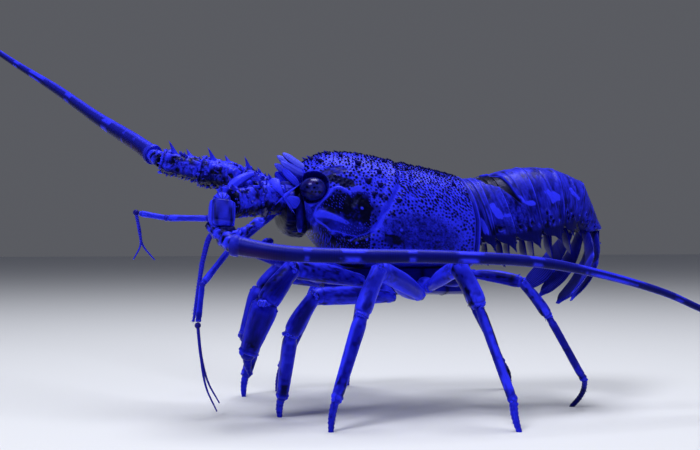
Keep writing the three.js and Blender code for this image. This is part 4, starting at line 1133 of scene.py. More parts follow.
def leg(word, side, number):
    merus, carpus, foot, end, dactyl = LEG_HALF[number - 1]
    coxa, blunt = COXA_HALF[number - 1], KNEE_BLUNT[number - 1]
    look, carpus_look, foot_look, (claw_pale, claw_dark) = LEG_LOOKS[number - 1]
    route = np.array(LEG_ROUTES[word][number - 1], float)
    place, level = COXA_PLACE[number - 1]
    root = np.array([place, side * (sternum_half(place + coxa) + 0.8), level])
    flank = (0, side, 0.15)
    raised = route[4][2] > 0
    seed = number + (5 if side > 0 else 0)

    def back(a, b, distance):
        return a - unit(b - a) * distance

    def bend(n):
        return unit(route[n] - route[n - 1]) - unit(route[n + 1] - route[n])

    upper = Mesh()
    article(upper, back(root, route[0], 2.0), route[0], sized(COXA_SHAPE, coxa), look, flank=flank,
            facing=((0, side, 0), None), knobs=False, rows=40, seed=seed)
    article(upper, back(route[0], route[1], coxa * 0.5), route[1], sized(MERUS_SHAPE, merus), look,
            slim=LEG_FLAT, bow=1.0, flank=flank, seed=seed)
    for share, size in MERUS_THORNS:
        thorn = mix(route[0], route[1], share) + np.array([0, 0, merus * 0.85])
        spikes(upper, thorn, unit(route[1] - route[0]) + np.array([0, 0, 0.8]), size, 0.9, sides=8,
               base=(0.8, 0, 0), tip=(0.2, 0.6, 0))
    upper.piece(f"leg_upper_{word}_{number}", LIMB, "leg", f"leg_{word}_{number}_upper")

    lower = Mesh()
    joint(lower, route[1], carpus * 0.86, flank, bend(1), carpus_look[0], seed)
    shape = [[0, 0.75 * blunt], [0.05, blunt], [0.22, 0.3 + 0.7 * blunt], [0.6, 1], [0.88, 0.97], [1, 0.68]]
    article(lower, back(route[1], route[2], merus * 0.3), route[2], sized(shape, carpus), carpus_look,
            hint=LEG_HINT, bow=0.8, flank=flank, seed=seed + 1)
    joint(lower, route[2], min(foot, carpus) * 0.9, flank, bend(2), foot_look[0], seed + 1)
    shape = [[0, foot * 0.72], [0.05, foot * 0.86], [0.16, foot], [0.5, mix(foot, end, 0.4)], [0.9, end],
             [0.97, end * 1.02], [1, end * 0.78]]
    points, high = article(lower, back(route[2], route[3], carpus * 0.35), route[3], shape, foot_look,
                           hint=LEG_HINT, flank=flank, flat=0.9, rows=110, seed=seed + 2)
    tip = RAISED_TIP if raised else FOOT_RADIUS
    t = np.linspace(0, 1, 60)
    claw_bend = np.array([-0.9 if number < 5 else 3.2, 0, 0])
    claw = mix(back(route[3], route[4], end * 0.4), route[4], t[:, None])
    claw += np.sin(np.pi * t)[:, None] * claw_bend
    size = along([[0, dactyl * 0.8], [0.1, dactyl], [0.6, mix(dactyl, tip, 0.35)], [1, tip]], t)

    def claw_paint(place, angle, out):
        share = place / place.max()
        fleck = lumps(skin_place(place, out, 0.35, 4, (0, 1)), 1.0, seed)
        pale = claw_pale * (1.1 - 0.3 * share) + 0.25 * fleck
        dark = claw_dark * smooth(0.0, 0.4, share) + 0.5 * smooth(0.1, 0.0, share)
        return painted(pale, dark + 0.3 * smooth(0.2, 0.7, -fleck))

    def claw_swell(place, angle, out):
        return 0.1 * np.cos(place * 2.4) * smooth(0, 2, place)

    tube(lower, claw, size, size, LEG_HINT, 24, claw_paint, claw_swell,
         facing=(None, None if raised else (0, 0, -1)))
    ball(lower, route[3], end * 0.8, 22, 14, (foot_look[0] + 0.1, 0.3, 0))
    edge = unit(bend(3) + np.array([-0.4, 0, 0.1]))
    for turn in (-1, 1):
        ball(lower, route[3] + edge * turn * end * 0.62 + unit(flank) * end * 0.35, end * 0.36, 16, 10,
             (0.5 + foot_look[0], 0, 0))
    clear = claw[:, 2] > HAIR_CLEARANCE
    outward = unit(rng.normal(0, 1, (clear.sum(), 3)) * [1, 1, 0.3])
    fringe(lower, claw[clear] + outward * size[clear][:, None] * 0.8, outward + [0, 0, -0.8], 110, 1.6, 0.1,
           base=(0.3, 0.3, 0.2), tip=(0.5, 0.1, 0.2))
    low = slice(60, 105)
    fringe(lower, points[low] + np.array([0.5, 0, -0.3]) * high[low, None], (0.8, 0, -0.9), 70, 1.8, 0.1)
    fringe(lower, route[2] + rng.normal(0, 1, (30, 3)) * carpus * 0.3, (-0.6, -0.2, -1.0), 60,
           4.5 if number in (3, 4) else 1.8, 0.12, base=(0.2, 0.6, 0), tip=(0.4, 0.4, 0))
    lower.piece(f"leg_lower_{word}_{number}", LIMB, "leg", f"leg_{word}_{number}_lower")


for word, side in SIDES:
    for number in range(1, 6):
        leg(word, side, number)


# Breast plate between the legs

BREAST_OUTLINE = np.array([(0, 79), (0.4, 79), (0.8, 80.3), (1, 82), (1, 90), (0.98, 97.5), (0, 97.5)])
BREAST_STEP = 17


def breast():
    x = np.linspace(-20, 78, 120)[:, None]
    y, z = (np.interp(np.linspace(0, 6, 26), np.arange(7), column) for column in BREAST_OUTLINE.T)
    y = y * sternum_half(x)
    wave = np.abs(np.sin((x + 4) / BREAST_STEP * np.pi))
    z = z + smooth(84, 80, z) * (0.8 * wave ** 0.4 - 0.8 + 0.7 * bell(y, 2.0))
    seam = bell(wave, 0.25)
    plate = Mesh()
    plate.rings(both_sides(stacked(x, y, z), [1, -1, 1]), painted(0.3 - 0.3 * seam, 0.2 + 0.6 * seam))
    plate.piece("breast_plate", BELOW, "underside", "sternum")


breast()


# Face between the eyes and the feet of the antennae

# Sections as (x, half-width, z of the middle, half-height)
FACE_SECTIONS = [[-52, 30, 142, 16], [-44, 26, 139, 18.5], [-36.3, 22, 138, 19]]
FACE_ROUND = 0.8
FACE_BACK = -30
FACE_END = -52.3
FACE_GRID = (60, 180)
# Pale plates before the eye, as points, then rows of (share of the length, half-width or half-thickness)
FRONT_BLADE = [(-39.5, 17.5, 154), (-43, 18, 157.5), (-46.5, 17.4, 161), (-50, 16.5, 165)]
FRONT_BLADE_WIDE = [[0, 1.6], [0.25, 2.7], [0.75, 2.9], [0.93, 2.0], [1, 0.7]]
FRONT_BLADE_THICK = [[0, 1.0], [0.5, 1.2], [1, 0.4]]
WEDGE = [(-51.6, 34, 146.4), (-46.5, 32.5, 143.8), (-41.8, 29.5, 141)]
WEDGE_WIDE = [[0, 0.6], [0.4, 2.6], [0.8, 4.2], [1, 3.0]]
WEDGE_THICK = [[0, 0.5], [0.6, 1.6], [1, 1.2]]
STAR = np.array([-52.1, 34, 145.8])
STAR_ARMS = [((-41.2, 32.5, 154.3), 1.5), ((-59.4, 34.5, 139), 0.8), ((-43.7, 32, 134), 0.9),
             ((-45.8, 33, 135), 0.45)]
FOREHEAD = np.array([-35.2, 0, 159.5])
FOREHEAD_RADII = np.array([3.6, 11, 7.0])
FOREHEAD_THORNS = ((0.3, 5.5), (0.75, 3.0))
CHEEK_POST = [(-39, 19, 147), (-40, 25, 142.5), (-40.2, 27, 135), (-40, 26.4, 128), (-39.6, 24.5, 123)]
POST_HALF = [[0, 1.6], [0.3, 2.3], [0.85, 2.3], [1, 1.2]]
FACE_HAIRS = 5


def face_front(front):
    x = np.linspace(FACE_BACK, FACE_END, FACE_GRID[0])[:, None]
    angle = 2 * np.pi * (np.arange(FACE_GRID[1]) + 0.5) / FACE_GRID[1]
    wide, level, high = np.moveaxis(along(FACE_SECTIONS, x), -1, 0)
    inset = 1 - 0.25 * smooth(-36, FACE_BACK, x)
    inset = inset * np.sqrt(1 - 0.8 * smooth(-47, FACE_END, x) ** 2)
    rings = stacked(x, wide * powered(np.cos(angle), FACE_ROUND) * inset,
                    level + high * powered(np.sin(angle), FACE_ROUND) * inset)
    out = unit(rings - stacked(x, 0 * x, level))
    stretched = rings * [0.5, 1, 2.2]
    relief = 0.5 * lumps(stretched, 3.2, 4) + 0.5 * lumps(stretched, 1.4, 6)
    rings = rings + out * relief[..., None]
    hollow = smooth(1.15, 0.95, in_orbit(rings))
    toward = rings * [1, 0.3, 0.5] + [0, 0, 70]
    for _ in range(12):
        rings = rings + (toward - rings) * smooth(1.0, 0.9, in_orbit(rings))[..., None] * 0.12
    depth, _, z = np.moveaxis(rings, -1, 0)
    lower = smooth(150, 138, z)
    line = smooth(0.2, 0.9, np.cos(z * 2.6 + relief))
    pale = (0.5 + 0.5 * relief) * (1 - 0.75 * lower) + 0.3 * lower * line * smooth(133, 129, z)
    # Painted shade in the eye's hollow
    dark = 0.3 - 0.3 * relief + 0.6 * lower + 0.9 * hollow + 0.5 * smooth(-48, -51, depth)
    front.rings(rings, painted(pale, dark, 0.15 * smooth(0.2, 0.8, relief)))


def forehead_swell(out):
    return 0.5 * lumps(out * 4, 1.0, 6) + 0.25 * lumps(out * 9, 1.0, 2)


def forehead_paint(out):
    return painted(0.7 + 0.6 * lumps(out * 4, 1.0, 6), smooth(0.1, 0.6, -lumps(out * 6, 1.0, 2)))


def post_swell(place, angle, out):
    return 0.25 * lumps(skin_place(place, out, 0.3, 3, (0, 1)), 1, 2)


def post_paint(place, angle, out):
    pale = 0.7 * smooth(24.5, 27, place) + 0.15 * lumps(out * 2 + place[..., None] * 0.3, 1, 2)
    dark = 0.2 + 0.35 * smooth(25, 21, place) * smooth(0.3, 0.9, np.abs(np.cos(angle)))
    return painted(pale, dark + 0.6 * smooth(12, 7, place) - 0.2 * smooth(24, 26, place))


def star_paint(out):
    return painted(1.0, 0.95 * bell(np.hypot(out[..., 0], out[..., 2]), 0.4))


def face():
    front = Mesh()
    face_front(front)
    ball(front, FOREHEAD, FOREHEAD_RADII, 90, 50, forehead_paint, forehead_swell)
    for side in (LEFT, RIGHT):
        for share, long in FOREHEAD_THORNS:
            foot = FOREHEAD + FOREHEAD_RADII * [-0.8, side * share, 0.45]
            spikes(front, foot, (-1, side * 0.15, 0.55), long, 1.1, sides=10, base=(0.9, 0, 0),
                   tip=(0.3, 0.5, 0))
        leaf(front, mirrored(FRONT_BLADE, side), FRONT_BLADE_WIDE, FRONT_BLADE_THICK, (0, side, 0.1),
             shaded=0.9)
        leaf(front, mirrored(WEDGE, side), WEDGE_WIDE, WEDGE_THICK, (0, side, 0), ribs=13)
        post = curve(mirrored(CHEEK_POST, side), 44)
        tube(front, post, along(POST_HALF, np.linspace(0, 1, 44)), 1.7, (0, 1, 0), 20, post_paint, post_swell)
        for n in range(FACE_HAIRS):
            foot = mirrored((-36.5 + 1.1 * n, 28.3 - 0.2 * n, 141 - n), side)
            spikes(front, foot, (0.12, side * 0.15, -1), 11, 0.42, lean=(0.05, 0, 0), base=(0.6, 0.1, 0),
                   tip=(0.5, 0.3, 0))
        star = mirrored(STAR, side)
        for end, radius in STAR_ARMS:
            reach = mirrored(end, side) - star
            spikes(front, star, reach, np.linalg.norm(reach), radius, sides=8, base=(1, 0, 0), tip=(1, 0, 0),
                   sunk=0.05)
        ball(front, star, (1.4, 1.3, 1.4), 24, 16, star_paint, lambda out: 0.15 * lumps(out * 2, 1.0, 3))
    front.piece("face_block", HEAD, "flank", "face")


face()


# Eyes: dark glossy mottled balls on short stalks

# Spots as (forward, up, radius) on the ball's outer face
EYE_SPOTS = [(0.12, 0.05, 0.1), (-0.05, -0.28, 0.1), (0.2, -0.3, 0.09), (0.48, -0.3, 0.13), (-0.4, 0.1, 0.11),
             (0.3, 0.4, 0.1)]
EYE_DROP = np.array([0.6, 0.4, -0.9])
STALK_ENDS = (2, 9.6)
STALK_RADIUS = 3.4


def eye(word, side):
    def paint(out):
        facing = unit([-0.2, side, 0.05])
        turn = -side * unit(np.cross([0, 0, 1.0], facing))
        level = -side * np.cross(facing, turn)
        a, b = out @ turn, out @ level
        front = smooth(0.1, 0.45, out @ facing)
        # A painted highlight on the front of the ball
        lit = smooth(1.0, 0.3, np.hypot(a - 0.25, b + 0.15) / 0.75)
        mottle = lumps(out * 5, 1.0, 8) + 0.6 * lumps(out * 11, 1.0, 5)
        pale = front * (0.14 + 0.5 * lit) * (0.75 + 0.5 * mottle)
        dark = 0.55 * (1 - front) + 0.35 * smooth(0.1, 0.7, -mottle)
        for u, v, size in EYE_SPOTS:
            dark = np.maximum(dark, front * smooth(1.3, 0.7, np.hypot(a - u, b - v) / size))
        band = bell(b + 0.42 * a + 0.5, 0.11) * smooth(0.35, -0.1, a)
        dark = np.maximum(dark, 0.9 * band * front)
        rim = bell(np.hypot(a, b) - 0.86, 0.04) * smooth(-0.4, 0.3, b + 0.3 * a)
        warm = 0.3 * front * smooth(0.0, 0.8, lumps(out * 4, 1.0, 3))
        return painted(np.maximum(pale, 0.4 * rim), dark, warm)

    globe = Mesh()
    centre = mirrored(EYE_PLACE + EYE_DROP, side)
    ball(globe, centre, EYE_RADII, 110, 70, paint)
    stalk = curve([centre - [0, side * y, 0] for y in STALK_ENDS], 14)
    tube(globe, stalk, STALK_RADIUS, STALK_RADIUS, sides=24, paint=(0, 0.7, 0))
    globe.piece(f"eye_ball_{word}", EYE, "eye", f"eye_{word}")


# Horns over the eyes: each is an upper and a lower leaf with a deep furrow between

HORN_UPPER = [(-35, 12.5, 166.2), (-39.5, 12.5, 169), (-44.5, 12.6, 172.6), (-49.5, 12.8, 176.2)]
HORN_LOWER = [(-34.6, 12.9, 161.6), (-40, 13.8, 163.8), (-45.5, 14.4, 166.9), (-51, 14.2, 170.6)]
HORN_SHAPE = [[0, 0.9], [0.35, 1.0], [0.75, 0.88], [0.92, 0.55], [1, 0.18]]
HORN_THICK = 2.6


def horn(word, side):
    blade = Mesh()
    for points, wide, pale, shaded in ((HORN_UPPER, 2.7, 1.1, 0.9), (HORN_LOWER, 3.0, 0.55, 0.3)):
        leaf(blade, mirrored(points, side), sized(HORN_SHAPE, wide), sized(HORN_SHAPE, HORN_THICK),
             (0, side, 0.1), ribs=9, pale=pale, shaded=shaded)
    for share in (0.15, 0.35, 0.55, 0.75):
        foot = mirrored(mix(HORN_UPPER[0], HORN_UPPER[-1], share), side)
        foot = foot + np.array([0.8, 0, 2.0]) * (1 - share * 0.6)
        spikes(blade, foot, (-0.7, 0, 0.9), 1.5, 0.55, sides=6, base=(0.9, 0, 0), tip=(1, 0, 0))
    blade.piece(f"horn_blade_{word}", HORN, "horn", f"horn_{word}")


for word, side in SIDES:
    eye(word, side)
    horn(word, side)


# Antennae: three thorny articles each, then the flagellum

PEDUNCLE = {
    "left": [(-52.3, -19.5, 146), (-73, -33, 144.5), (-92, -47.5, 141), (-95, -63, 119.5)],
    "right": [(-52.3, 19.5, 148), (-75, 22, 160), (-101, 31, 166), (-128, 38, 173)],
}
PEDUNCLE_HALF = (11.5, 10.5, 8.6)
PEDUNCLE_SHAPE = [[0, 0.7], [0.06, 0.84], [0.2, 0.98], [0.5, 0.93], [0.8, 1], [0.94, 1.03], [0.985, 0.98],
                  [1, 0.78]]
# Thorns as (share of the length, (sideways, up), length)
PEDUNCLE_THORNS = [(0.3, (0.15, 1), 7), (0.7, (-0.3, 1), 10), (0.7, (0.75, 0.7), 9), (0.55, (1, -0.1), 7)]
SMALL_THORNS = 90
RIM_THORNS = 13
PEDUNCLE_ROWS = 84
PEDUNCLE_CREASE_AT = 0.92
# Marks of an article as (place, angle, their spreads, how much paler, how much darker)
PEDUNCLE_MARKS = {
    ("left", 1): [(20, 3.65, 4.5, 0.4, -0.6, 0.6), (23.5, 2.1, 2.0, 0.4, -1, 1),
                  (17, 2.9, 2.0, 0.5, 0.5, -0.6)],
    ("left", 2): [(25.7, 2.9, 3.6, 0.8, -1.2, 1.1), (13.5, 3.1, 6.5, 0.5, 0.7, -0.9),
                  (16, 4.35, 9, 0.4, -0.6, 0.7)],
    ("right", 2): [(15, 2.25, 12, 0.28, 0.6, -0.6), (14, 3.5, 15, 0.5, -0.5, 0.5)],
}
PANEL = [(-94.3, -53.5, 141.5), (-95, -56.5, 134), (-95.6, -59.5, 125.3)]
PANEL_HALF = (7.4, 6.8)
PANEL_ENDS = ([0.8, 1.0, 1.0, 0.85], [0.8, 1.0, 1.0, 0.8])
PANEL_SQUARE = 0.55
PANEL_CAP = (-94.5, -52, 141.3)
PANEL_CAP_FOLDS = 13
PANEL_JOINT = (-93, -60.5, 121.5)
# Lumpy folds of the joint as (points, half-widths, length of the shaded root)
KNOB_FOLDS = [
    ([(-104.5, -59.5, 127.5), (-100, -62.5, 123), (-94, -65, 118.5), (-88.5, -66, 119.5),
      (-84.5, -63.5, 124)],
     [[0, 1.4], [0.25, 3.2], [0.55, 3.8], [0.8, 2.9], [1, 1.4]], 0.5),
    ([(-64.5, -37, 138), (-66.5, -47, 133), (-69.5, -56.5, 129.5), (-76, -61.5, 126.5), (-81.5, -63.5, 122.5),
      (-85, -65.5, 118.5)],
     [[0, 2.6], [0.3, 1.6], [0.5, 2.1], [0.62, 3.2], [0.75, 2.1], [0.88, 3.2], [1, 1.6]], 19),
]
SHOULDER_PLATE = [(-58.6, -28.4, 157.6), (-57, -32.8, 153.6), (-54.6, -35, 149.8), (-52.3, -34.8, 146.3)]
SHOULDER_WIDE = [[0, 2.4], [0.14, 3.9], [0.4, 3.3], [0.75, 1.7], [1, 0.6]]
SHOULDER_THICK = [[0, 0.9], [0.5, 1.2], [1, 0.7]]
SHOULDER_RIM = [(-73.1, -40, 152), (-68, -38.8, 152.1), (-63.8, -37.2, 150.2), (-60, -35.9, 146.7),
                (-58.2, -34.8, 141.5)]
BROW_CREST = [(-72.6, -36.5, 160.6), (-78, -39.5, 158.4), (-84, -43, 154.6), (-90.5, -46, 149.5)]
BROW_WIDE = [[0, 1.6], [0.3, 3.0], [0.75, 3.4], [1, 1.6]]
BROW_THICK = [[0, 1.4], [0.5, 3.0], [1, 1.4]]


def left_extras(base, number):
    """Pale plates and ridges that only the near antenna shows."""
    def rough(place, angle, out):
        return 0.35 * lumps(skin_place(place, out, 0.5, 1.5), 1.0, 5)

    if number == 1:
        leaf(base, SHOULDER_PLATE, SHOULDER_WIDE, SHOULDER_THICK, (-0.2, -1, 0.5), ribs=14, pale=1.1)
        tube(base, curve(SHOULDER_RIM, 50), 1.2, 1.0, (0, -1, 0), paint=(0.95, 0, 0), swell=rough)
    else:
        leaf(base, BROW_CREST, BROW_WIDE, BROW_THICK, (0, -1, 0.3), ribs=8, pale=1.15, shaded=0.7)


def lumpy(base, points, size, root):
    """Irregular lumpy fold: pale on its lumps as a painted highlight, with painted shade between them,
    underneath and along its root's length.
    """
    def lump(place, out):
        spot = skin_place(place, out, 0.42, 1.7)
        return lumps(spot, 1.0, 4) + 0.4 * lumps(spot * 2.3, 1.0, 7)

    def paint(place, angle, out):
        lit = lump(place, out)
        near = smooth(root + 4, root, place)
        # Painted shade between the lumps, underneath and along the root
        dark = smooth(-0.05, -0.6, lit) + 0.5 * smooth(0.3, 0.9, -out[..., 2]) + 0.75 * near
        return painted((0.7 + 0.7 * lit) * (1 - near), dark)

    def swell(place, angle, out):
        return 0.85 * lump(place, out)

    size = along(size, np.linspace(0, 1, 90))
    tube(base, curve(points, 90), size, size, (0, 1, 0.3), 36, paint, swell)


def panel_article(base):
    """The near antenna's third article: a boxy panel with brush-like streaks, partly a painted sheen, over a
    knobbly joint.
    """
    def paint(place, angle, out):
        edge = smooth(0.84, 0.97, np.abs(np.cos(angle)) + 0.08 * (np.cos(angle) > 0))
        wobble = lumps(skin_place(place, out, 0.12, 4, (0, 1)), 1.0, 3)
        # Streaks, partly real texture and partly a painted sheen
        streaks_and_sheen = lumps(stacked(place * 0.16, np.cos(angle) * 5, np.sin(angle) * 3), 1.0, 9)
        pale = 0.4 + 0.25 * wobble + 0.4 * streaks_and_sheen + 0.75 * edge + 0.4 * smooth(14.5, 16, place)
        dark = 0.35 * bell(np.abs(np.cos(angle)) - 0.78, 0.06) + 0.5 * smooth(1.2, 0, place)
        return painted(pale, dark + 0.55 * smooth(0.1, 0.7, -streaks_and_sheen) * (1 - edge))

    def swell(place, angle, out):
        return 0.7 * smooth(0.86, 0.98, np.abs(np.cos(angle))) - 0.25 * bell(place - 14.2, 0.6)

    def fold(out):
        return np.cos(np.arctan2(out[..., 0], out[..., 2]) * PANEL_CAP_FOLDS)

    def cap_paint(out):
        crest = smooth(0.55, 0.95, fold(out))
        return painted(1.0 - 0.7 * crest, 0.5 * crest)

    t = np.linspace(0, 1, 60)
    across, up = (half * along(np.column_stack([[0, 0.08, 0.9, 1], ends]), t)
                  for half, ends in zip(PANEL_HALF, PANEL_ENDS))
    tube(base, curve(PANEL, 60), across, up, (0, -1, 0), 96, paint, swell, square=PANEL_SQUARE)
    ball(base, PANEL_CAP, (6.2, 6.0, 6.8), 72, 30, cap_paint, lambda out: 0.2 * fold(out))
    ball(base, PANEL_JOINT, (7.4, 5.8, 6.2), 40, 26, (0.15, 0.8, 0), lambda out: 0.5 * lumps(out * 6, 1.0, 4))
    for points, size, root in KNOB_FOLDS:
        lumpy(base, points, size, root)


def thorny_article(base, word, number):
    a, b = np.array(PEDUNCLE[word], float)[number - 1:number + 1]
    half = PEDUNCLE_HALF[number - 1]
    way = unit(b - a)
    start = a - way * (1.5 if number > 1 else -0.6)
    reach = np.linalg.norm(b - start)
    t = np.linspace(0, 1, PEDUNCLE_ROWS)
    size = along(sized(PEDUNCLE_SHAPE, half), t)
    marks = PEDUNCLE_MARKS.get((word, number), [])

    def noise(place, out):
        """Coarse and fine lumps, the spot on the skin, and how far the crease is."""
        spot = skin_place(place, out, turn=half)
        crease = place - reach * PEDUNCLE_CREASE_AT - 0.5 * lumps(spot, 3.0, 2)
        return lumps(spot, 4.0, number), lumps(spot, 1.9, number + 3), spot, crease

    def swell(place, angle, out):
        coarse, fine, spot, crease = noise(place, out)
        height = 0.8 * coarse + 0.5 * fine + 0.2 * lumps(spot, 0.9, number + 5)
        return height - 0.7 * bell(crease, 0.7) + 0.4 * np.cos(angle * 5)

    def paint(place, angle, out):
        coarse, fine, spot, crease = noise(place, out)
        grit = lumps(spot, 1.1, number + 9)
        up = out[..., 2]
        # Paler on top and darker underneath: painted light and painted shade
        low = smooth(0.2, 0.75, -up)
        pale = 0.45 + 0.6 * coarse + 0.45 * fine + 0.5 * smooth(0.3, 0.95, up) + 0.35 * grit
        dark = 0.9 * smooth(0.1, 0.6, -coarse - 0.3 * fine) + 0.85 * low + 0.6 * smooth(0.2, 0.7, -grit)
        cuff = bell(place - reach * CUFF_AT, 1.0) * (0.7 + 0.5 * fine)
        pale = np.maximum(pale * (1 - 0.8 * low), cuff)
        dark = np.maximum(dark * (1 - 0.6 * cuff), 0.9 * bell(crease, 0.6))
        for mark_place, mark_angle, long, wide, paler, darker in marks:
            gap = np.hypot((place - mark_place) / long, (angle - mark_angle) / wide) + 0.25 * fine
            mask = smooth(1.25, 0.7, gap)
            pale = pale + paler * mask
            dark = np.clip(dark + darker * mask, 0, 1)
        return painted(pale, dark, 0.2 * smooth(0, 0.7, -fine))

    tube(base, mix(start, b, t[:, None]), size, size, sides=110, paint=paint, swell=swell,
         facing=((-1, 0, 0) if number == 1 else None, None))
    away = LEFT if word == "left" else RIGHT
    for share, (sideways, up), long in PEDUNCLE_THORNS:
        outward = unit([0, sideways * away, up])
        spikes(base, mix(start, b, share) + outward * half * 0.92, outward + way * 0.4, long * 0.95, 2.1,
               sides=14, lean=way * 0.12, base=(0.95, 0, 0), tip=(0.5, 0.3, 0.2), sunk=0.25)
    side_way = unit(np.cross(way, (0, 0, 1.0)))
    top_way = np.cross(side_way, way)

    def outwards(angle):
        return side_way * np.cos(angle)[:, None] + top_way * np.sin(angle)[:, None]

    outward = outwards(rng.uniform(0, 2 * np.pi, SMALL_THORNS))
    share = rng.uniform(0.1, 0.92, SMALL_THORNS)[:, None]
    spikes(base, mix(start, b, share) + outward * half * 0.96, outward + way * 0.5,
           rng.uniform(0.9, 2.6, SMALL_THORNS), rng.uniform(0.4, 1.0, SMALL_THORNS), sides=6,
           base=(0.5, 0.5, 0.1), tip=(1, 0, 0))
    outward = outwards(2 * np.pi * np.arange(RIM_THORNS) / RIM_THORNS)
    spikes(base, b - way * 1.2 + outward * half * 0.92, way * 0.8 + outward * 0.5,
           rng.uniform(1.5, 3.2, RIM_THORNS), 0.9, sides=7, base=(0.9, 0, 0), tip=(1, 0, 0))
    if word == "left":
        left_extras(base, number)


FLAGELLUM_LENGTH = 470
FLAGELLUM_SPLIT = 0.45
HAIRS_UP_TO = 0.34
# Points of each flagellum, its half-widths, and its bands as (place, half-length, strength)
FLAGELLA = {
    "left": (
        [(-90, -71.5, 114.5), (-61, -84, 109.5), (-18, -92, 107.7), (38, -96, 107), (102, -93, 103.4),
         (147, -90, 95.3), (195, -86, 82.2), (220, -84, 72), (262, -80, 55), (302, -74, 41), (340, -66, 30),
         (366, -58, 23)],
        [[0, 6.8], [10, 5.7], [30, 5], [75, 4.5], [132, 4.05], [195, 3.5], [243, 2.8], [295, 2.4],
         [470, 0.8]],
        [(48, 2.2, 0.7), (76, 7.5, 1), (113, 3, 0.8), (150, 8, 1), (196, 5, 0.8), (247, 22, 1), (300, 4, 0.7),
         (338, 6, 1), (372, 4, 0.8), (402, 5, 1), (430, 4, 0.8), (452, 4, 1)],
    ),
    "right": (
        [(-133.5, 44, 177.5), (-145, 62, 187.5), (-171, 102, 207.5), (-204, 153, 235.5), (-238, 203, 261.5),
         (-268, 240, 284), (-302, 270, 304.5), (-340, 291, 321), (-380, 305, 334), (-396, 309, 338)],
        [[0, 7.2], [10, 6.1], [38, 5.6], [64, 5.2], [112, 4.2], [169, 3.6], [207, 2.95], [295, 2.2],
         [470, 0.8]],
        [(22, 1.5, 0.5), (36, 1.5, 0.6), (62, 6, 0.9), (122, 5, 0.8), (176, 13, 1), (232, 5, 0.9),
         (276, 14, 1), (322, 5, 0.8), (360, 8, 1), (398, 5, 0.9), (430, 5, 1), (452, 4, 0.8)],
    ),
}
NECK_SHAPE = [[0, 4.6], [0.4, 5.4], [1, 5.0]]
RING_PITCH = 1.5
RING_ROWS = 3


def flagellum(word):
    points, table, bands = FLAGELLA[word]
    rows = int(FLAGELLUM_LENGTH / RING_PITCH) * RING_ROWS
    path = curve(points, rows)
    places = np.linspace(0, FLAGELLUM_LENGTH, rows)
    size = along(table, places)
    cut = int(rows * FLAGELLUM_SPLIT)
    for part, low, high in (("base", 0, cut + 1), ("tip", cut, rows)):
        def swell(place, angle, out):
            at = place + places[low]
            saw = 0.16 * ((at / RING_PITCH) % 1) - 0.08
            foot = 0.5 * bell(at - 2.5, 1.6) - 0.3 * bell(at - 5.5, 0.8)
            return saw * np.interp(at, [0, 200, 470], [1, 0.8, 0.3]) + foot

        def paint(place, angle, out):
            at = place + places[low]
            up = np.sin(angle)
            noise = lumps(stacked(at * 0.5, out[..., 1] * 3, up * 3), 1.0, 6)
            # Pale lines along the top and bottom edges are partly pale ridges and partly painted highlights;
            # the upper half is painted lighter and the lower half darker, as light and shade
            pale = 0.08 + 0.55 * smooth(0.78, 0.98, up) + 0.42 * smooth(0.9, 0.995, -up)
            pale += 0.12 * smooth(0.0, 0.6, up)
            dark = 0.5 * smooth(0.35, -0.4, up) * smooth(-0.97, -0.8, up)
            for centre, wide, strength in bands:
                gap = np.abs(at - centre) * (1 + 0.3 * noise)
                upper = smooth(wide * 1.3, wide * 0.7, gap + 0.8 * np.cos(angle * 3)) * smooth(0.3, 0.6, up)
                lower = smooth(wide * 1.1, wide * 0.35, gap) * smooth(0.0, -0.3, up) * smooth(-0.98, -0.7, up)
                mask = np.maximum(upper, lower) * strength
                pale = np.maximum(pale, mask)
                dark = dark * (1 - mask)
            line = 0.22 * smooth(0.75, 1.0, (at / RING_PITCH) % 1)
            warm = 0.55 * bell(at - 18, 14) * smooth(0.2, -0.5, up)
            return painted(np.maximum(pale, 0.5 * smooth(9, 2, at)), np.clip(dark + line, 0, 1), warm)

        whip = Mesh()
        tube(whip, path[low:high], size[low:high], size[low:high], sides=26, paint=paint, swell=swell)
        if part == "base":
            root = np.array(PEDUNCLE[word][3])
            lumpy(whip, [root, mix(root, path[0], 0.6), path[2], path[5]], NECK_SHAPE, 0)
            haired = slice(6, int(rows * HAIRS_UP_TO))
            way = np.gradient(path, axis=0)
            top = unit(np.cross(unit(np.cross(way, (0, 0, 1.0))), way))
            for edge in (top, -top):
                fringe(whip, (path + edge * size[:, None] * 0.95)[haired], (edge + unit(way) * 1.2)[haired],
                       420, 1.5, 0.1, base=(0.5, 0.1, 0.1), tip=(0.9, 0, 0), spread=0.2)
        whip.piece(f"feeler_{word}_{part}", FEELER, "feeler", f"flagellum_{word}_{part}")


for word, _ in SIDES:
    for number in (1, 2, 3):
        base = Mesh()
        if word == "left" and number == 3:
            panel_article(base)
        else:
            thorny_article(base, word, number)
        base.piece(f"antenna_article_{word}_{number}", HEAD, "flank", f"antenna_{word}_{number}")
    flagellum(word)


# Antennules: a stalk of three articles with two whips each

ANTENNULES = {
    "left": ([(-52.3, -5, 137), (-85.5, -14, 111), (-104.5, -22, 88), (-107.5, -26, 63.5)], [
        [(-106, -27.5, 42), (-102.5, -27.5, 21), (-95, -23.5, 4)],
        [(-105.5, -23.5, 42), (-101, -24, 24), (-93, -20, 9)],
    ]),
    "right": ([(-52.3, 5, 138), (-98.5, 4, 132), (-126.5, 8, 132.3), (-144.5, 10, 135.5)], [
        [(-144.8, 9, 124), (-143.8, 8.8, 114), (-148.5, 8, 104)],
        [(-144.2, 11, 124), (-142.3, 11.5, 114), (-134, 13, 103.5)],
    ]),
}
ANTENNULE_HALF = (2.6, 2.3, 2.1)
ANTENNULE_SHAPE = [[0, 0.7], [0.08, 0.9], [0.5, 0.9], [0.9, 1], [1, 0.75]]
# How much paler each antennule is than the palest shade of its ground; the right one's extra paleness is
# partly a painted highlight
ANTENNULE_PALENESS_AND_HIGHLIGHT = {"left": 0.05, "right": 0.42}
WHIP_RINGS = 5.5


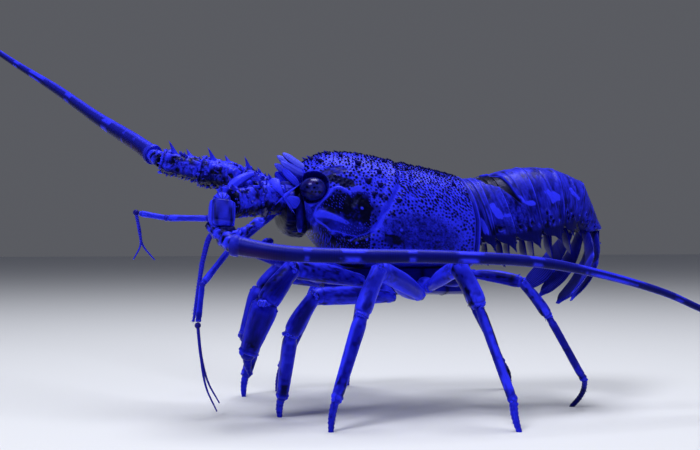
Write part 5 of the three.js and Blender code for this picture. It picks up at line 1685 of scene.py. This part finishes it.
def antennule(word, side):
    route, whips = ANTENNULES[word]
    route = np.array(route, float)
    # Extra paleness, on the right antennule partly a painted highlight
    light = ANTENNULE_PALENESS_AND_HIGHLIGHT[word]
    stalk = Mesh()
    for n, half in enumerate(ANTENNULE_HALF):
        way = unit(route[n + 1] - route[n])
        article(stalk, route[n] - way * (0.8 if n else 0), route[n + 1], sized(ANTENNULE_SHAPE, half),
                (0.25 + light, 0.4, 0.2, 0.1, 0.3), hint=(0, 1, 0), sides=24, flank=(0, side, 0), knobs=False,
                rows=60, grain=0.05, seed=n)
        if n:
            ball(stalk, route[n], half * 1.1, 14, 9, (0.5, 0.35, 0.1))
    stalk.piece(f"antennule_stalk_{word}", LIMB, "leg", f"antennule_{word}")

    def paint(place, angle, out):
        ring = 0.2 * np.cos(place * WHIP_RINGS)
        return painted(0.35 + light + ring, 0.25 - ring, 0.15)

    pair = Mesh()
    root = route[3] + unit(route[3] - route[2]) * 2.3
    ball(pair, root, 2.1, 18, 12, (0.3, 0.4, 0.2))
    for points in whips:
        path = curve([root] + points, 150)
        walk = lengths(path)
        size = np.interp(walk / walk[-1], [0, 0.3, 1], [1.15, 1.0, 0.45])
        tube(pair, path, size, size, (0, 1, 0), 10, paint, lambda s, a, o: 0.08 * np.cos(s * WHIP_RINGS))
    pair.piece(f"antennule_whip_{word}", FEELER, "feeler", f"antennule_{word}_whips")


for word, side in SIDES:
    antennule(word, side)


# Palp of the left mouth limb, and the mouth limbs

PALP = [(-56, -20, 102), (-82, -22, 113), (-97, -13, 121), (-102.5, -12, 107), (-106, -14.5, 88),
        (-110, -17, 63)]
PALP_HALF = ([0, 0.4, 0.5, 0.8, 1], [2, 2, 1.9, 1.4, 0.8])
PALP_JOINT = 47
PALP_RINGS = 3.1
MAXILLIPED = [(-20.3, 5.5, 90), (-45, 12, 101), (-58, 12.5, 106), (-61.5, 10, 113), (-56, 8, 117.5)]
MAXILLIPED_HALF = (4.6, 4, 3.2, 2.4)
MAXILLIPED_SHAPE = [[0, 0.65], [0.1, 0.85], [0.5, 1], [0.9, 0.95], [1, 0.7]]


def palp():
    def swell(place, angle, out):
        ring = 0.1 * np.cos(place * PALP_RINGS) * smooth(45, 60, place)
        return ring + 0.4 * bell(place - PALP_JOINT, 1.5)

    def paint(place, angle, out):
        pale = 0.45 + 0.15 * np.cos(place * PALP_RINGS)
        # Darker underneath: painted shade
        return painted(pale, 0.15 + 0.25 * smooth(0.2, -0.8, out[..., 2]), 0.1)

    limb = Mesh()
    path = curve(PALP, 260)
    walk = lengths(path)
    size = np.interp(walk / walk[-1], *PALP_HALF)
    tube(limb, path, size, size, (0, 1, 0), 14, paint, swell)
    for way in ((-1, 0, -0.6), (1, 0, -0.6)):
        fringe(limb, path[150:], way, 90, 3.0, 0.12)
    limb.piece("palp_limb_left", LIMB, "feeler", "palp_left")


def maxilliped(word, side):
    limb = Mesh()
    route = mirrored(MAXILLIPED, side)
    for n, half in enumerate(MAXILLIPED_HALF):
        way = unit(route[n + 1] - route[n])
        points, high = article(limb, route[n] - way * (1.2 if n else 0), route[n + 1],
                               sized(MAXILLIPED_SHAPE, half), (0.2, 0.4, 0.3, 0.3, 0.5), hint=(0, 1, 0),
                               sides=30, flank=(0, side, 0), rows=44, seed=n)
        inner = points + np.array([0, -side * 0.7, -0.5]) * high[:, None]
        fringe(limb, inner, (-0.5, -side * 0.6, -0.8), 110, 3.0, 0.14)
    limb.piece(f"mouth_limb_{word}", LIMB, "flank", f"maxilliped_{word}")


palp()
for word, side in SIDES:
    maxilliped(word, side)


# Camera, light and floor

CAMERA_YAW = math.radians(12)
CAMERA_FAR = 800
CAMERA_HIGH = 120
LENS = 58.9
SENSOR = 36
HORIZON_SHIFT = 11 / 700
LAMPS = (
    ("key", (-0.7, -1.0, 1.5), (0, -0.1, 0.12), 0.6, 19),
    ("top", (0.2, 0.1, 1.7), (0, -0.1, 0.1), 0.9, 21),
    ("fill", (1.3, -1.2, 0.7), (0, -0.1, 0.1), 1.0, 2.5),
)
SKY = (0.85, 0.88, 1.0, 1)
SKY_STRENGTH = 0.12
FLOOR_HALF = 6
FLOOR_COLOUR = (0.72, 0.74, 0.8, 1)
FLOOR_ROUGHNESS = 0.7


def placed(name, data):
    made = bpy.data.objects.new(name, data)
    bpy.context.scene.collection.objects.link(made)
    return made


def lamp(name, place, target, size, power):
    data = bpy.data.lights.new(name, "AREA")
    data.shape = "DISK"
    data.size = size
    data.energy = power
    light = placed(name, data)
    light.location = place
    x, y, z = np.array(target, float) - np.array(place, float)
    light.rotation_euler = [0, math.acos(-z / math.hypot(x, y, z)), math.atan2(y, x) + math.pi]


camera_data = bpy.data.cameras.new("view")
camera_data.lens = LENS
camera_data.sensor_width = SENSOR
camera_data.shift_y = HORIZON_SHIFT
camera = placed("view", camera_data)
from_front = np.array([-CAMERA_FAR * math.sin(CAMERA_YAW), -CAMERA_FAR * math.cos(CAMERA_YAW), CAMERA_HIGH])
camera.location = (from_front + SHIFT) * MM
camera.rotation_euler = (math.pi / 2, 0, -CAMERA_YAW)
bpy.context.scene.camera = camera

for settings in LAMPS:
    lamp(*settings)

world = bpy.data.worlds.new("studio")
world.use_nodes = True
sky = world.node_tree.nodes["Background"]
sky.inputs["Color"].default_value = SKY
sky.inputs["Strength"].default_value = SKY_STRENGTH
bpy.context.scene.world = world
bpy.context.scene.view_settings.view_transform = "Standard"

floor_data = bpy.data.meshes.new("floor")
corners = [(x * FLOOR_HALF, y * FLOOR_HALF, 0) for x, y in ((-1, -1), (1, -1), (1, 1), (-1, 1))]
floor_data.from_pydata(corners, [], [(0, 1, 2, 3)])
floor_material = bpy.data.materials.new("pale_floor")
floor_material.use_nodes = True
floor_shader = floor_material.node_tree.nodes["Principled BSDF"]
floor_shader.inputs["Base Color"].default_value = FLOOR_COLOUR
floor_shader.inputs["Roughness"].default_value = FLOOR_ROUGHNESS
floor_data.materials.append(floor_material)
floor = placed("floor", floor_data)
